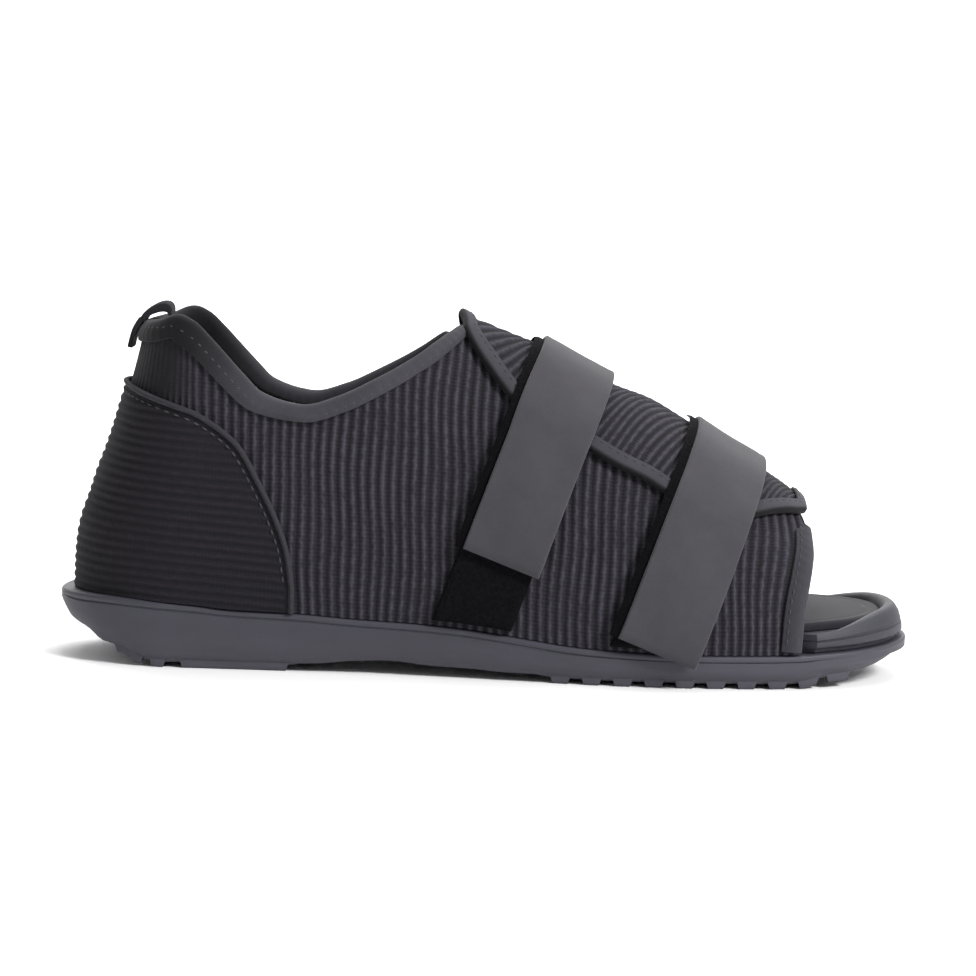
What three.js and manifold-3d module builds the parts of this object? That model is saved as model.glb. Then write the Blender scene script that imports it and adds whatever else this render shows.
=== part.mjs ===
// Post operative shoe for a right foot. Units are mm, +X to the toe, +Y to the medial side, +Z up.
import * as THREE from 'three';
import { mergeVertices } from 'three/addons/utils/BufferGeometryUtils.js';
import Module from 'manifold-3d';

const wasm = await Module();
wasm.setup();
const { Manifold, Mesh: SolidMesh } = wasm;

// Sole sizes
const soleLength = 290;
const ballWidth = 106;
const soleHeight = 24;
const heelCapLength = 40;
const toeCapLength = 52;
const heelCapPower = 2;
const toeCapPower = 2.35;
const lugHeight = 2.5;
const lugInset = 2.4;
const lugRoot = 1.5;
const lugLength = 6;
const lugPitch = 10.3;
const lugCount = 10;
const frontLugSetback = 26.2;
const lipDepth = 1.8;
const midsoleHeight = 6.2;
const insoleHeight = 2.6;
const seamGap = 0.3;
const edgeGap = 0.5;
const innerGap = 1;
const tapeLift = 0.35;
const grooveInset = 2.6;
const toeShelfInset = 1.2;
const heelClearance = 5.2;
const tapeClearance = 4.4;
const bumperThickness = 3.6;
const bumperHeight = 4.8;
const bumperLean = 2.6;
const shelfStartSetback = 35.5;
const shelfFullSetback = 31;
const bumperStartSetback = 34;
const bumperFullSetback = 7;
const insoleClearance = 1.5;
const insoleRound = 0.8;

// Upper sizes
const ridgeTop = 190;
const wallThickness = 2.5;
const lastGap = 3.3;
const heelTuck = 1.2;
const heelTuckReach = 20;
const heelRampLength = 30;
const fanSetback = 47;
const fanDepth = 40;
const collarDepth = 17.6;
const fanLength = 60;
const collarHeight = 113;
const toeOpeningSetback = 37;
const toeOpeningReach = 34;
const toeTapeRampStart = 16;
const toeTapeRampEnd = 9;

// Layer heights above the inside face of the upper
const overlayStart = wallThickness + 0.6;
const flapOuter = 4.9;
const flapTapeOuter = 5.8;
const counterStart = wallThickness + 0.75;
const counterOuter = 4.1;
const pipingOuter = 4.8;
const patchOuter = 5.5;
const backingInner = 6.4;
const backingOuter = 7;
const strapInner = 7.2;
const strapOuter = 8.6;
const strapMedialInner = 3;
const strapMedialOuter = 4.6;

// Tape sizes
const tapeThickness = 0.8;
const collarTapeWidth = 5.6;
const heelTapeWidth = 7.4;
const toeTapeWidth = 5.8;
const flapTapeWidth = 4;
const heelTapeStart = 18;
const heelTapeFull = 6;
const toeTapeTopLateral = 0.87;
const toeTapeTopMedial = 0.67;
const featherClimb = 0.012;
const pipingWidth = 2.2;
const pipingStep = 0.6;

// Strap and tab sizes
const strapWidth = 26.8;
const backingShow = 3;
const patchShift = -2;
const patchWidth = 25.8;
const tabWidth = 14;
const tabThickness = 1.6;
const tabRise = 6;
const tabLeg = 9;
const tabLean = 3.5;
const tabClearance = 0.9;
const tabShoulder = 1.2;

// Each row: share of sole length from the heel, then lateral and medial half width
// and the sideways place of the ridge, as shares of half the ball width.
const planRows = [
  [0, 0.74, 0.72, 0],
  [0.13, 0.745, 0.725, 0],
  [0.26, 0.755, 0.69, 0],
  [0.37, 0.785, 0.635, 0.02],
  [0.47, 0.85, 0.65, 0.06],
  [0.57, 0.93, 0.77, 0.1],
  [0.66, 0.995, 0.905, 0.12],
  [0.73, 1, 0.985, 0.12],
  [0.8, 0.965, 1, 0.12],
  [0.87, 0.905, 0.965, 0.1],
  [1, 0.8, 0.87, 0.08],
];

// Each row: share of sole length from the heel, then height of the sole's top edge
// and of its underside, as shares of the sole height.
const soleRows = [
  [0, 0.917, 0.7],
  [0.017, 0.935, 0.53],
  [0.04, 0.95, 0.44],
  [0.061, 0.957, 0.29],
  [0.08, 0.954, 0.265],
  [0.107, 0.935, 0.14],
  [0.125, 0.92, 0.104],
  [0.175, 0.883, 0.104],
  [0.2, 0.854, 0.104],
  [0.285, 0.817, 0.104],
  [0.305, 0.805, 0.108],
  [0.349, 0.77, 0.163],
  [0.395, 0.75, 0.19],
  [0.44, 0.73, 0.146],
  [0.487, 0.69, 0.133],
  [0.53, 0.63, 0.104],
  [0.62, 0.513, 0.104],
  [0.75, 0.467, 0.104],
  [0.865, 0.48, 0.104],
  [0.89, 0.5, 0.175],
  [0.919, 0.515, 0.208],
  [0.941, 0.53, 0.235],
  [0.965, 0.55, 0.31],
  [0.982, 0.57, 0.39],
  [1, 0.59, 0.53],
];

// Each row: share of sole length from the heel, then height of the ridge
// as a share of its virtual top and the fullness of the section.
const ridgeRows = [
  [0.16, 1, 2.3],
  [0.22, 0.91, 2.3],
  [0.3, 0.81, 2.25],
  [0.37, 0.715, 2.15],
  [0.415, 0.65, 2.1],
  [0.4635, 0.597, 2.1],
  [0.498, 0.581, 2.1],
  [0.522, 0.568, 2.1],
  [0.548, 0.553, 2.15],
  [0.6, 0.513, 2.2],
  [0.644, 0.48, 2.25],
  [0.682, 0.46, 2.25],
  [0.724, 0.424, 2.3],
  [0.774, 0.377, 2.3],
  [0.803, 0.352, 2.3],
  [0.84, 0.317, 2.3],
  [0.869, 0.287, 2.3],
  [1, 0.22, 2.3],
];

// Each row: height over the collar height, then how far the centre back lies
// behind the fan centre, as a share of the fan depth.
const backRows = [
  [0.195, 0.97],
  [0.3, 0.965],
  [0.363, 0.95],
  [0.407, 0.925],
  [0.476, 0.86],
  [0.557, 0.79],
  [0.609, 0.735],
  [0.686, 0.665],
  [0.769, 0.6],
  [0.824, 0.55],
  [0.897, 0.498],
  [0.961, 0.455],
  [1, 0.395],
  [1.06, 0.36],
];

// Each row: share of sole length from the heel, then the collar edge height
// over the collar height.
const collarRows = [
  [0.101, 0.997],
  [0.12, 1.008],
  [0.1414, 1.027],
  [0.157, 1.01],
  [0.172, 0.975],
  [0.19, 0.927],
  [0.213, 0.865],
  [0.236, 0.81],
  [0.272, 0.779],
  [0.289, 0.774],
  [0.3286, 0.802],
  [0.369, 0.852],
  [0.417, 0.922],
  [0.4407, 0.965],
  [0.4635, 1],
];

// Each row: share of sole length from the heel, then share of section height at the
// lateral quarter edge, the medial quarter edge, the flap's free edge and its sewn edge.
const throatRows = [
  [0.4635, 0.985, 0.93, 0.99, 0.7],
  [0.475, 0.97, 0.915, 0.955, 0.7],
  [0.4935, 0.955, 0.895, 0.9, 0.7],
  [0.512, 0.945, 0.88, 0.85, 0.7],
  [0.532, 0.935, 0.87, 0.81, 0.7],
  [0.625, 0.93, 0.86, 0.755, 0.7],
  [0.675, 0.935, 0.86, 0.72, 0.7],
  [0.716, 0.94, 0.86, 0.688, 0.7],
  [0.745, 0.945, 0.86, 0.685, 0.7],
  [0.79, 0.96, 0.87, 0.74, 0.7],
  [0.826, 0.97, 0.88, 0.84, 0.71],
  [0.86, 0.98, 0.89, 0.94, 0.72],
  [0.87, 0.985, 0.89, 0.965, 0.72],
];

// Each row: start and end of a tread bar under the heel, as shares of the sole length.
const heelBarRows = [
  [0.081, 0.107],
  [0.118, 0.134],
  [0.153, 0.276],
];

// Each row: inset of the sole's side, share of its height, then height added to that share.
const sideRows = [
  [4.5, 0, 0],
  [1.6, 0, 0.9],
  [0.3, 0.3, 0],
  [0, 0.55, 0],
  [0.8, 1, -lipDepth - 0.5],
  [0, 1, -lipDepth],
  [0, 1, -0.6],
  [0.6, 1, 0],
];

// Each row: inset of the midsole's side, share of the bumper's lean and thickness taken
// with it, height over the sole's edge, then share of the bumper's height.
const midsoleRows = [
  [0, 0, 1.8, 0],
  [0.2, 0, 5.6, 0.35],
  [0.6, 1, midsoleHeight, 1],
];

// Each row: share of section height, then how far the toe opening edge lies
// behind its foremost point, as a share of the opening reach.
const openingRows = [
  [0, 0.124],
  [0.3, 0.097],
  [0.5, 0.05],
  [0.62, 0.02],
  [0.74, 0],
  [0.87, 0.01],
  [0.95, 0.05],
  [1, 0.13],
];

// Each row: share of sole length from the heel, then the counter edge height
// over the collar height.
const counterRows = [
  [0.1, 0.826],
  [0.1538, 0.774],
  [0.2114, 0.679],
  [0.246, 0.536],
  [0.265, 0.435],
  [0.2766, 0.348],
  [0.2828, 0.25],
];

const heelEndX = -soleLength / 2;
const toeEndX = soleLength / 2;
const fanX = heelEndX + fanSetback;
const toeOpeningX = toeEndX - toeOpeningSetback;
const throatX = heelEndX + throatRows[0][0] * soleLength;
const flapRearX = throatX + 1.1;
const flapFrontX = toeOpeningX - 2.3;

// Straps: place of the middle line on the ridge as a share of the sole length, lean in
// degrees, length from the ridge down the lateral side, and the loop patch's top share
const rearStrap = { ridgeShare: 0.5941, lean: 19.6, end: 63.2, loopTop: 0.6 };
const frontStrap = { ridgeShare: 0.7745, lean: 20.5, end: 63.4, loopTop: 0.52 };
const strapSewnClimb = 0.03;

// Grid counts
const capSteps = 10;
const middleSteps = 20;
const wallRows = 8;
const flapRows = 14;
const strapRows = 20;
const backingRows = 11;

function readTable(rows, column, at) {
  if (at <= rows[0][0]) {
    return rows[0][column];
  }
  const last = rows.length - 1;
  if (at >= rows[last][0]) {
    return rows[last][column];
  }
  let k = 0;
  while (rows[k + 1][0] < at) {
    k += 1;
  }
  const slope = (a) => (rows[a + 1][column] - rows[a][column]) / (rows[a + 1][0] - rows[a][0]);
  const bend = (a) => {
    if (a === 0) {
      return slope(0);
    }
    if (a === last) {
      return slope(last - 1);
    }
    const before = slope(a - 1);
    const after = slope(a);
    return before * after > 0 ? (2 * before * after) / (before + after) : 0;
  };
  const span = rows[k + 1][0] - rows[k][0];
  const f = (at - rows[k][0]) / span;
  const a = rows[k][column];
  const b = rows[k + 1][column];
  const ma = bend(k) * span;
  const mb = bend(k + 1) * span;
  return a * (1 + 2 * f) * (1 - f) ** 2 + ma * f * (1 - f) ** 2
    + b * f * f * (3 - 2 * f) + mb * f * f * (f - 1);
}

function shareOf(x) {
  return (x - heelEndX) / soleLength;
}

function ramp(from, to, at) {
  const f = THREE.MathUtils.clamp((at - from) / (to - from), 0, 1);
  return f * f * (3 - 2 * f);
}

function soleTop(x) {
  return readTable(soleRows, 1, shareOf(x)) * soleHeight;
}

function soleUnder(x) {
  return readTable(soleRows, 2, shareOf(x)) * soleHeight;
}

function capShare(x) {
  const heel = THREE.MathUtils.clamp((heelEndX + heelCapLength - x) / heelCapLength, 0, 1);
  const toe = THREE.MathUtils.clamp((x - toeEndX + toeCapLength) / toeCapLength, 0, 1);
  const heelCap = (1 - heel ** heelCapPower) ** (1 / heelCapPower);
  const toeCap = (1 - toe ** toeCapPower) ** (1 / toeCapPower);
  return heelCap * toeCap;
}

function halfWidth(x, side) {
  const column = side < 0 ? 1 : 2;
  return readTable(planRows, column, shareOf(x)) * ballWidth / 2;
}

function ridgeY(x) {
  return readTable(planRows, 3, shareOf(x)) * ballWidth / 2;
}

// Stations along the sole, close together where the ends turn
function soleStations() {
  const xs = [];
  for (let i = 0; i < capSteps; i += 1) {
    const turn = Math.cos((i / capSteps) * Math.PI / 2) ** (2 / heelCapPower);
    xs.push(heelEndX + heelCapLength * (1 - turn));
  }
  const from = heelEndX + heelCapLength;
  const to = toeEndX - toeCapLength;
  for (let i = 0; i <= middleSteps; i += 1) {
    xs.push(from + (to - from) * i / middleSteps);
  }
  for (let i = capSteps - 1; i >= 0; i -= 1) {
    const turn = Math.cos((i / capSteps) * Math.PI / 2) ** (2 / toeCapPower);
    xs.push(toeEndX - toeCapLength * (1 - turn));
  }
  return xs;
}

function outline() {
  const xs = soleStations();
  const last = xs.length - 1;
  const loop = [];
  for (let i = 0; i <= last; i += 1) {
    loop.push(new THREE.Vector2(xs[i], -halfWidth(xs[i], -1) * capShare(xs[i])));
  }
  for (let i = last - 1; i > 0; i -= 1) {
    loop.push(new THREE.Vector2(xs[i], halfWidth(xs[i], 1) * capShare(xs[i])));
  }
  loop[0].y = 0;
  loop[last].y = 0.03 * ballWidth;
  return loop;
}

const soleLoop = outline();

// One ring of the sole outline moved inward, with its height from a function of x
function ring(inset, height) {
  const n = soleLoop.length;
  return soleLoop.map((p, i) => {
    const a = soleLoop[(i + n - 1) % n];
    const b = soleLoop[(i + 1) % n];
    const along = b.clone().sub(a).normalize();
    const amount = typeof inset === 'function' ? inset(p.x, p.y) : inset;
    const x = p.x - along.y * amount;
    const y = p.y + along.x * amount;
    return new THREE.Vector3(x, y, height(x, y));
  });
}

function makeGeometry(points, faces) {
  const geometry = new THREE.BufferGeometry();
  const data = new Float32Array(points.length * 3);
  points.forEach((p, i) => p.toArray(data, i * 3));
  geometry.setAttribute('position', new THREE.BufferAttribute(data, 3));
  geometry.setIndex(faces);
  const joined = mergeVertices(geometry, 0.002);
  const index = joined.getIndex().array;
  const kept = [];
  for (let i = 0; i < index.length; i += 3) {
    const [a, b, c] = [index[i], index[i + 1], index[i + 2]];
    if (a !== b && b !== c && a !== c) {
      kept.push(a, b, c);
    }
  }
  if (signedVolume(joined, kept) < 0) {
    kept.reverse();
  }
  joined.setIndex(kept);
  joined.computeVertexNormals();
  return joined;
}

function signedVolume(geometry, index) {
  const position = geometry.getAttribute('position');
  const corner = (i) => new THREE.Vector3().fromBufferAttribute(position, index[i]);
  let volume = 0;
  for (let i = 0; i < index.length; i += 3) {
    volume += corner(i).dot(corner(i + 1).cross(corner(i + 2))) / 6;
  }
  return volume;
}

// Stack of rings from the lowest to the highest, closed by ladders across the loop
function ringSolid(rings) {
  const n = rings[0].length;
  const points = rings.flat();
  const faces = [];
  for (let k = 0; k < rings.length - 1; k += 1) {
    for (let i = 0; i < n; i += 1) {
      const a = k * n + i;
      const b = k * n + ((i + 1) % n);
      faces.push(a, b, b + n, a, b + n, a + n);
    }
  }
  const half = n / 2;
  const top = (rings.length - 1) * n;
  for (let i = 0; i < half; i += 1) {
    const left = i;
    const right = (n - i) % n;
    const nextLeft = i + 1;
    const nextRight = n - i - 1;
    const quad = [[left, nextRight, nextLeft], [left, right, nextRight]];
    quad.forEach(([a, b, c]) => {
      if (a !== b && b !== c && a !== c) {
        faces.push(a, b, c);
        faces.push(top + a, top + c, top + b);
      }
    });
  }
  return makeGeometry(points, faces);
}

function toSolid(geometry) {
  const vertProperties = geometry.getAttribute('position').array;
  const triVerts = Uint32Array.from(geometry.getIndex().array);
  return new Manifold(new SolidMesh({ numProp: 3, vertProperties, triVerts }));
}

function fromSolid(solid) {
  const mesh = solid.getMesh();
  const points = [];
  for (let i = 0; i < mesh.vertProperties.length; i += mesh.numProp) {
    points.push(new THREE.Vector3().fromArray(mesh.vertProperties, i));
  }
  return makeGeometry(points, Array.from(mesh.triVerts));
}

function outsoleGeometry() {
  const body = ringSolid(sideRows.map(([inset, share, extra]) => ring(inset, (x) => {
    return soleUnder(x) + (soleTop(x) - soleUnder(x)) * share + extra;
  })));
  const blank = toSolid(ringSolid([
    ring(lugInset, (x) => soleUnder(x) - lugHeight),
    ring(lugInset, (x) => soleUnder(x) + lugRoot),
  ]));
  const bars = heelBarRows.map((row) => row.map((share) => heelEndX + share * soleLength));
  for (let i = 0; i < lugCount; i += 1) {
    const x = toeEndX - frontLugSetback - i * lugPitch;
    bars.push([x - lugLength / 2, x + lugLength / 2]);
  }
  const cutters = bars.map(([from, to]) => Manifold
    .cube([to - from, ballWidth * 2, soleHeight * 3], true)
    .translate([(from + to) / 2, 0, 0]));
  const lugs = Manifold.union(cutters).intersect(blank);
  return fromSolid(toSolid(body).add(lugs));
}

// Distance from the sole outline to the inside face of the upper
function lastInset(x) {
  return lastGap + heelTuck * ramp(fanX + heelTuckReach, fanX - heelTuckReach, x);
}

// Upper's inside face: u runs round the foot from lateral toe to heel to medial toe,
// t climbs from the feather edge to the ridge.
function sectionAt(x) {
  const at = shareOf(x);
  return {
    base: soleTop(x) + seamGap,
    top: readTable(ridgeRows, 1, at) * ridgeTop,
    fullness: readTable(ridgeRows, 2, at),
  };
}

function facePoint(u, t) {
  const side = u < 0 ? -1 : 1;
  const reach = Math.abs(u);
  const inFan = reach < fanLength;
  const x = inFan ? fanX : fanX + reach - fanLength;
  const section = sectionAt(x);
  const turn = Math.PI / 2 * t;
  const shrink = Math.cos(Math.max(turn, 0)) ** (2 / section.fullness);
  const centre = ridgeY(x);
  const half = (halfWidth(x, side) - lastInset(x)) * capShare(x) - side * centre;
  if (!inFan) {
    const z = section.base + (section.top - section.base) * Math.sin(turn);
    return new THREE.Vector3(x, centre + side * half * shrink, z);
  }
  const angle = reach / fanLength * Math.PI / 2;
  const plan = fanX - fanDepth * Math.cos(angle);
  const base = soleTop(plan) + seamGap;
  const z = base + (section.top - base) * Math.sin(turn);
  const depth = readTable(backRows, 1, z / collarHeight) * fanDepth;
  return new THREE.Vector3(
    fanX - depth * Math.cos(angle),
    centre + side * half * shrink * Math.sin(angle),
    z,
  );
}

function last(u, t, out) {
  const step = 0.002;
  const reach = 0.4;
  const point = facePoint(u, t);
  const low = facePoint(u, Math.min(t, 1) - step);
  const high = facePoint(u, Math.min(t + step, 1));
  const before = facePoint(u - reach, t);
  const after = facePoint(u + reach, t);
  const normal = high.sub(low).cross(after.sub(before)).normalize();
  const moved = point.clone().addScaledVector(normal, out);
  const hold = Math.max(0, 1 - Math.abs(t) * 3) ** 2;
  moved.z += (soleTop(moved.x) - soleTop(point.x)) * hold;
  return moved;
}

function uOf(x, side) {
  return side * (fanLength + x - fanX);
}

function climbOf(share) {
  return Math.asin(THREE.MathUtils.clamp(share, 0, 1)) * 2 / Math.PI;
}

function planX(u) {
  const reach = Math.abs(u);
  if (reach >= fanLength) {
    return fanX + reach - fanLength;
  }
  return fanX - collarDepth * Math.cos(reach / fanLength * Math.PI / 2);
}

function shareOfHeight(u, z) {
  const reach = Math.abs(u);
  const section = sectionAt(reach >= fanLength ? planX(u) : fanX);
  const plan = fanX - fanDepth * Math.cos(reach / fanLength * Math.PI / 2);
  const base = reach >= fanLength ? section.base : soleTop(plan) + seamGap;
  return (z - base) / (section.top - base);
}

// Upper edge of the quarters and collar, as a climb value
function topClimb(u) {
  const x = planX(u);
  const at = shareOf(x);
  if (at >= throatRows[0][0]) {
    return climbOf(readTable(throatRows, u < 0 ? 1 : 2, at));
  }
  const z = readTable(collarRows, 1, at) * collarHeight;
  const share = shareOfHeight(u, z);
  const limit = throatRows[0][u < 0 ? 1 : 2];
  return climbOf(Math.min(share, limit));
}

// Toe opening edge: columns near the front move back by the opening table
function openingU(u, t) {
  const side = u < 0 ? -1 : 1;
  const x = planX(u);
  const weight = ramp(toeOpeningX - toeOpeningReach, toeOpeningX, x);
  const back = readTable(openingRows, 1, Math.sin(Math.PI / 2 * t)) * toeOpeningReach;
  return u - side * back * weight;
}

// Closed sheet between two offsets over a grid of places given by spot(i, j)
function sheetSolid(columns, rows, spot) {
  const width = columns + 1;
  const height = rows + 1;
  const points = [];
  for (let layer = 0; layer < 2; layer += 1) {
    for (let j = 0; j < height; j += 1) {
      for (let i = 0; i < width; i += 1) {
        points.push(spot(i / columns, j / rows, layer, i, j));
      }
    }
  }
  const id = (i, j, layer) => layer * width * height + j * width + i;
  const faces = [];
  const quad = (a, b, c, d) => faces.push(a, b, c, a, c, d);
  for (let j = 0; j < rows; j += 1) {
    for (let i = 0; i < columns; i += 1) {
      quad(id(i, j, 0), id(i + 1, j, 0), id(i + 1, j + 1, 0), id(i, j + 1, 0));
      quad(id(i, j, 1), id(i, j + 1, 1), id(i + 1, j + 1, 1), id(i + 1, j, 1));
    }
  }
  for (let i = 0; i < columns; i += 1) {
    quad(id(i, 0, 0), id(i, 0, 1), id(i + 1, 0, 1), id(i + 1, 0, 0));
    quad(id(i, rows, 0), id(i + 1, rows, 0), id(i + 1, rows, 1), id(i, rows, 1));
  }
  for (let j = 0; j < rows; j += 1) {
    quad(id(0, j, 0), id(0, j + 1, 0), id(0, j + 1, 1), id(0, j, 1));
    quad(id(columns, j, 0), id(columns, j, 1), id(columns, j + 1, 1), id(columns, j + 1, 0));
  }
  return makeGeometry(points, faces);
}

// Closed strip whose section is a ring of points at each station
function stripSolid(stations, sectionPoints) {
  const points = [];
  stations.forEach((s) => points.push(...sectionPoints(s)));
  const n = points.length / stations.length;
  const faces = [];
  for (let k = 0; k < stations.length - 1; k += 1) {
    for (let i = 0; i < n; i += 1) {
      const a = k * n + i;
      const b = k * n + ((i + 1) % n);
      faces.push(a, b, b + n, a, b + n, a + n);
    }
  }
  const end = (stations.length - 1) * n;
  const caps = THREE.ShapeUtils.triangulateShape(flatSection(points.slice(0, n)), []);
  const endCaps = THREE.ShapeUtils.triangulateShape(flatSection(points.slice(end)), []);
  caps.forEach(([a, b, c]) => faces.push(a, c, b));
  endCaps.forEach(([a, b, c]) => faces.push(end + a, end + b, end + c));
  return makeGeometry(points, faces);
}

function flatSection(points) {
  const origin = points[0];
  const normal = new THREE.Vector3();
  points.forEach((p, i) => {
    const q = points[(i + 1) % points.length];
    normal.add(p.clone().sub(origin).cross(q.clone().sub(origin)));
  });
  normal.normalize();
  const across = points[1].clone().sub(origin);
  across.addScaledVector(normal, -across.dot(normal)).normalize();
  const up = normal.clone().cross(across);
  return points.map((p) => {
    const d = p.clone().sub(origin);
    return new THREE.Vector2(d.dot(across), d.dot(up));
  });
}

function bodyStations(from, to, step) {
  const count = Math.round(Math.abs(to - from) / step);
  return Array.from({ length: count + 1 }, (_, i) => from + (to - from) * i / count);
}

// Stations down the lateral side, round the heel and up the medial side
function roundTheHeel(xs) {
  const lateral = xs.map((x) => uOf(x, -1));
  const fan = bodyStations(-fanLength, fanLength, 8);
  return [...lateral, ...fan.slice(1, -1), ...lateral.map((u) => -u).reverse()];
}

function collarStations() {
  return [throatX - 3, ...bodyStations(throatX - 6.5, fanX, 7)];
}

function upperStations() {
  const front = [...bodyStations(toeOpeningX, 4, 7), ...bodyStations(-1, throatX, 5)];
  return roundTheHeel([...front, ...collarStations()]);
}

function upperGeometry() {
  const us = upperStations();
  return sheetSolid(us.length - 1, wallRows, (f, g, layer, i) => {
    const t = topClimb(us[i]) * g;
    return last(openingU(us[i], t), t, layer * wallThickness);
  });
}

function counterGeometry() {
  const endX = heelEndX + counterRows[counterRows.length - 1][0] * soleLength;
  const near = [0, 0.7, 1.6, 2.2, 2.9, 4.5].map((d) => endX - d);
  const far = collarStations().filter((x) => x < endX - 6);
  const us = roundTheHeel([...near, ...far]);
  const rowsUp = [0, 0.15, 0.3, 0.45, 0.6, 0.75, 0.88, 1];
  return sheetSolid(us.length - 1, rowsUp.length + 1, (f, g, layer, i, j) => {
    const z = readTable(counterRows, 1, shareOf(planX(us[i]))) * collarHeight;
    const edge = climbOf(shareOfHeight(us[i], z));
    const foot = climbOf(shareOfHeight(us[i], z - pipingWidth));
    const step = climbOf(shareOfHeight(us[i], z - pipingWidth - pipingStep));
    const climbs = [...rowsUp.map((r) => r * step), foot, edge];
    const raised = j > rowsUp.length - 1 || i < 2 || i > us.length - 3;
    const outer = raised ? pipingOuter : counterOuter;
    return last(us[i], climbs[j], layer ? outer : counterStart);
  });
}

// Tape along an edge: at(p, q, out) is the surface, path its places along the edge,
// inward a place inside the piece, section the tape's corners as [offset, distance inside]
function tapeSolid(at, path, inside, section) {
  const end = path.length - 1;
  return stripSolid(path.map((_, k) => k), (k) => {
    const [p, q] = path[k];
    const here = at(p, q, 0);
    const alongP = at(p + 0.3, q, 0).sub(at(p - 0.3, q, 0)).divideScalar(0.6);
    const alongQ = at(p, q + 0.002, 0).sub(at(p, q - 0.002, 0)).divideScalar(0.004);
    const before = path[Math.max(k - 1, 0)];
    const after = path[Math.min(k + 1, end)];
    const along = at(after[0], after[1], 0).sub(at(before[0], before[1], 0)).normalize();
    const normal = alongP.clone().cross(alongQ).normalize();
    const inward = normal.cross(along).normalize();
    if (inward.dot(inside.clone().sub(here)) < 0) {
      inward.negate();
    }
    const pp = alongP.dot(alongP);
    const pq = alongP.dot(alongQ);
    const qq = alongQ.dot(alongQ);
    const fp = inward.dot(alongP);
    const fq = inward.dot(alongQ);
    const area = pp * qq - pq * pq;
    const stepP = (fp * qq - fq * pq) / area;
    const stepQ = (fq * pp - fp * pq) / area;
    return section(k).map(([out, deep]) => at(p + stepP * deep, q + stepQ * deep, out));
  });
}

// Corners of a tape folded over a wall edge
function foldedSection(width) {
  const outer = wallThickness + edgeGap + tapeLift;
  const t = tapeThickness;
  return [
    [outer, width], [outer + t, width], [outer + t, -edgeGap - t], [-innerGap - t, -edgeGap - t],
    [-innerGap - t, width], [-innerGap, width], [-innerGap, -edgeGap], [outer, -edgeGap],
  ];
}

function collarTapeGeometry() {
  const us = roundTheHeel(collarStations());
  const startX = throatX - 2.9;
  const path = [uOf(startX, -1), ...us, uOf(startX, 1)].map((u) => [u, topClimb(u)]);
  const inside = new THREE.Vector3((fanX + throatX) / 2, 0, soleHeight * 1.5);
  return tapeSolid(last, path, inside, (k) => {
    const heel = ramp(fanX + heelTapeStart, fanX - heelTapeFull, planX(path[k][0]));
    return foldedSection(collarTapeWidth + (heelTapeWidth - collarTapeWidth) * heel);
  });
}

function toeTapeGeometry(side) {
  const rows = 10;
  const top = climbOf(side < 0 ? toeTapeTopLateral : toeTapeTopMedial);
  const path = Array.from({ length: rows + 1 }, (_, j) => {
    const t = featherClimb + (top - featherClimb) * j / rows;
    return [openingU(uOf(toeOpeningX, side), t), t];
  });
  const inside = last(uOf(toeOpeningX - toeOpeningReach, side), top / 2, 0);
  return tapeSolid(last, path, inside, () => foldedSection(toeTapeWidth));
}

// Straps lie between two leaning planes that cross the ridge squarely
function bandX(band, w, side, t) {
  const lean = THREE.MathUtils.degToRad(band.lean);
  const ridgeX = heelEndX + band.ridgeShare * soleLength;
  const ridge = facePoint(uOf(ridgeX, -1), 1).z;
  let x = ridgeX;
  for (let k = 0; k < 12; k += 1) {
    const z = facePoint(uOf(x, side), t).z;
    x = ridgeX + (w + (z - ridge) * Math.sin(lean)) / Math.cos(lean);
  }
  return x;
}

// Climb on the lateral side where a band has run its length down from the ridge
function bandClimb(band, w) {
  const lean = THREE.MathUtils.degToRad(band.lean);
  const ridgeX = heelEndX + band.ridgeShare * soleLength;
  const ridge = facePoint(uOf(ridgeX, -1), 1).z;
  let low = -0.3;
  let high = 1;
  for (let k = 0; k < 24; k += 1) {
    const t = (low + high) / 2;
    const x = bandX(band, w, -1, t);
    const z = facePoint(uOf(x, -1), t).z;
    const down = (ridge - z) * Math.cos(lean) + (ridgeX - x) * Math.sin(lean);
    if (down > band.end) {
      low = t;
    } else {
      high = t;
    }
  }
  return (low + high) / 2;
}

// Band over the ridge: columns are places across it, and rows count up from its lateral
// end, with run 1 at the ridge and 2 at the medial feather edge
function bandGeometry(band, columns, rows, layers) {
  return sheetSolid(columns.length - 1, rows, (f, g, layer, i, j) => {
    const w = columns[i];
    const start = bandClimb(band, w);
    const run = start + (2 - strapSewnClimb - start) * j / strapRows;
    const side = run <= 1 ? -1 : 1;
    const t = run <= 1 ? run : 2 - run;
    const sewn = side > 0 ? ramp(0.46, 0.3, t) : 0;
    return last(uOf(bandX(band, w, side, t), side), t, layers(sewn)[layer]);
  });
}

const strapColumns = [-1, -1 / 3, 1 / 3, 1].map((share) => share * strapWidth / 2);

function strapGeometry(band) {
  return bandGeometry(band, strapColumns, strapRows, (sewn) => [
    strapInner + (strapMedialInner - strapInner) * sewn,
    strapOuter + (strapMedialOuter - strapOuter) * sewn,
  ]);
}

// Hook tape under the strap, which shows along the strap's rear edge
function backingGeometry(band) {
  const columns = [strapColumns[0] - backingShow, ...strapColumns.slice(0, 3)];
  return bandGeometry(band, columns, backingRows, () => [backingInner, backingOuter]);
}

function patchGeometry(band) {
  const rows = 7;
  return sheetSolid(3, rows, (f, g, layer) => {
    const w = (f - 0.5) * patchWidth + patchShift;
    const t = featherClimb + (climbOf(band.loopTop) - featherClimb) * g;
    const x = bandX(band, w, -1, t);
    return last(uOf(x, -1), t, layer ? patchOuter : overlayStart);
  });
}

function flapEdges(x) {
  const at = shareOf(x);
  return [climbOf(readTable(throatRows, 3, at)), 2 - climbOf(readTable(throatRows, 4, at))];
}

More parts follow.
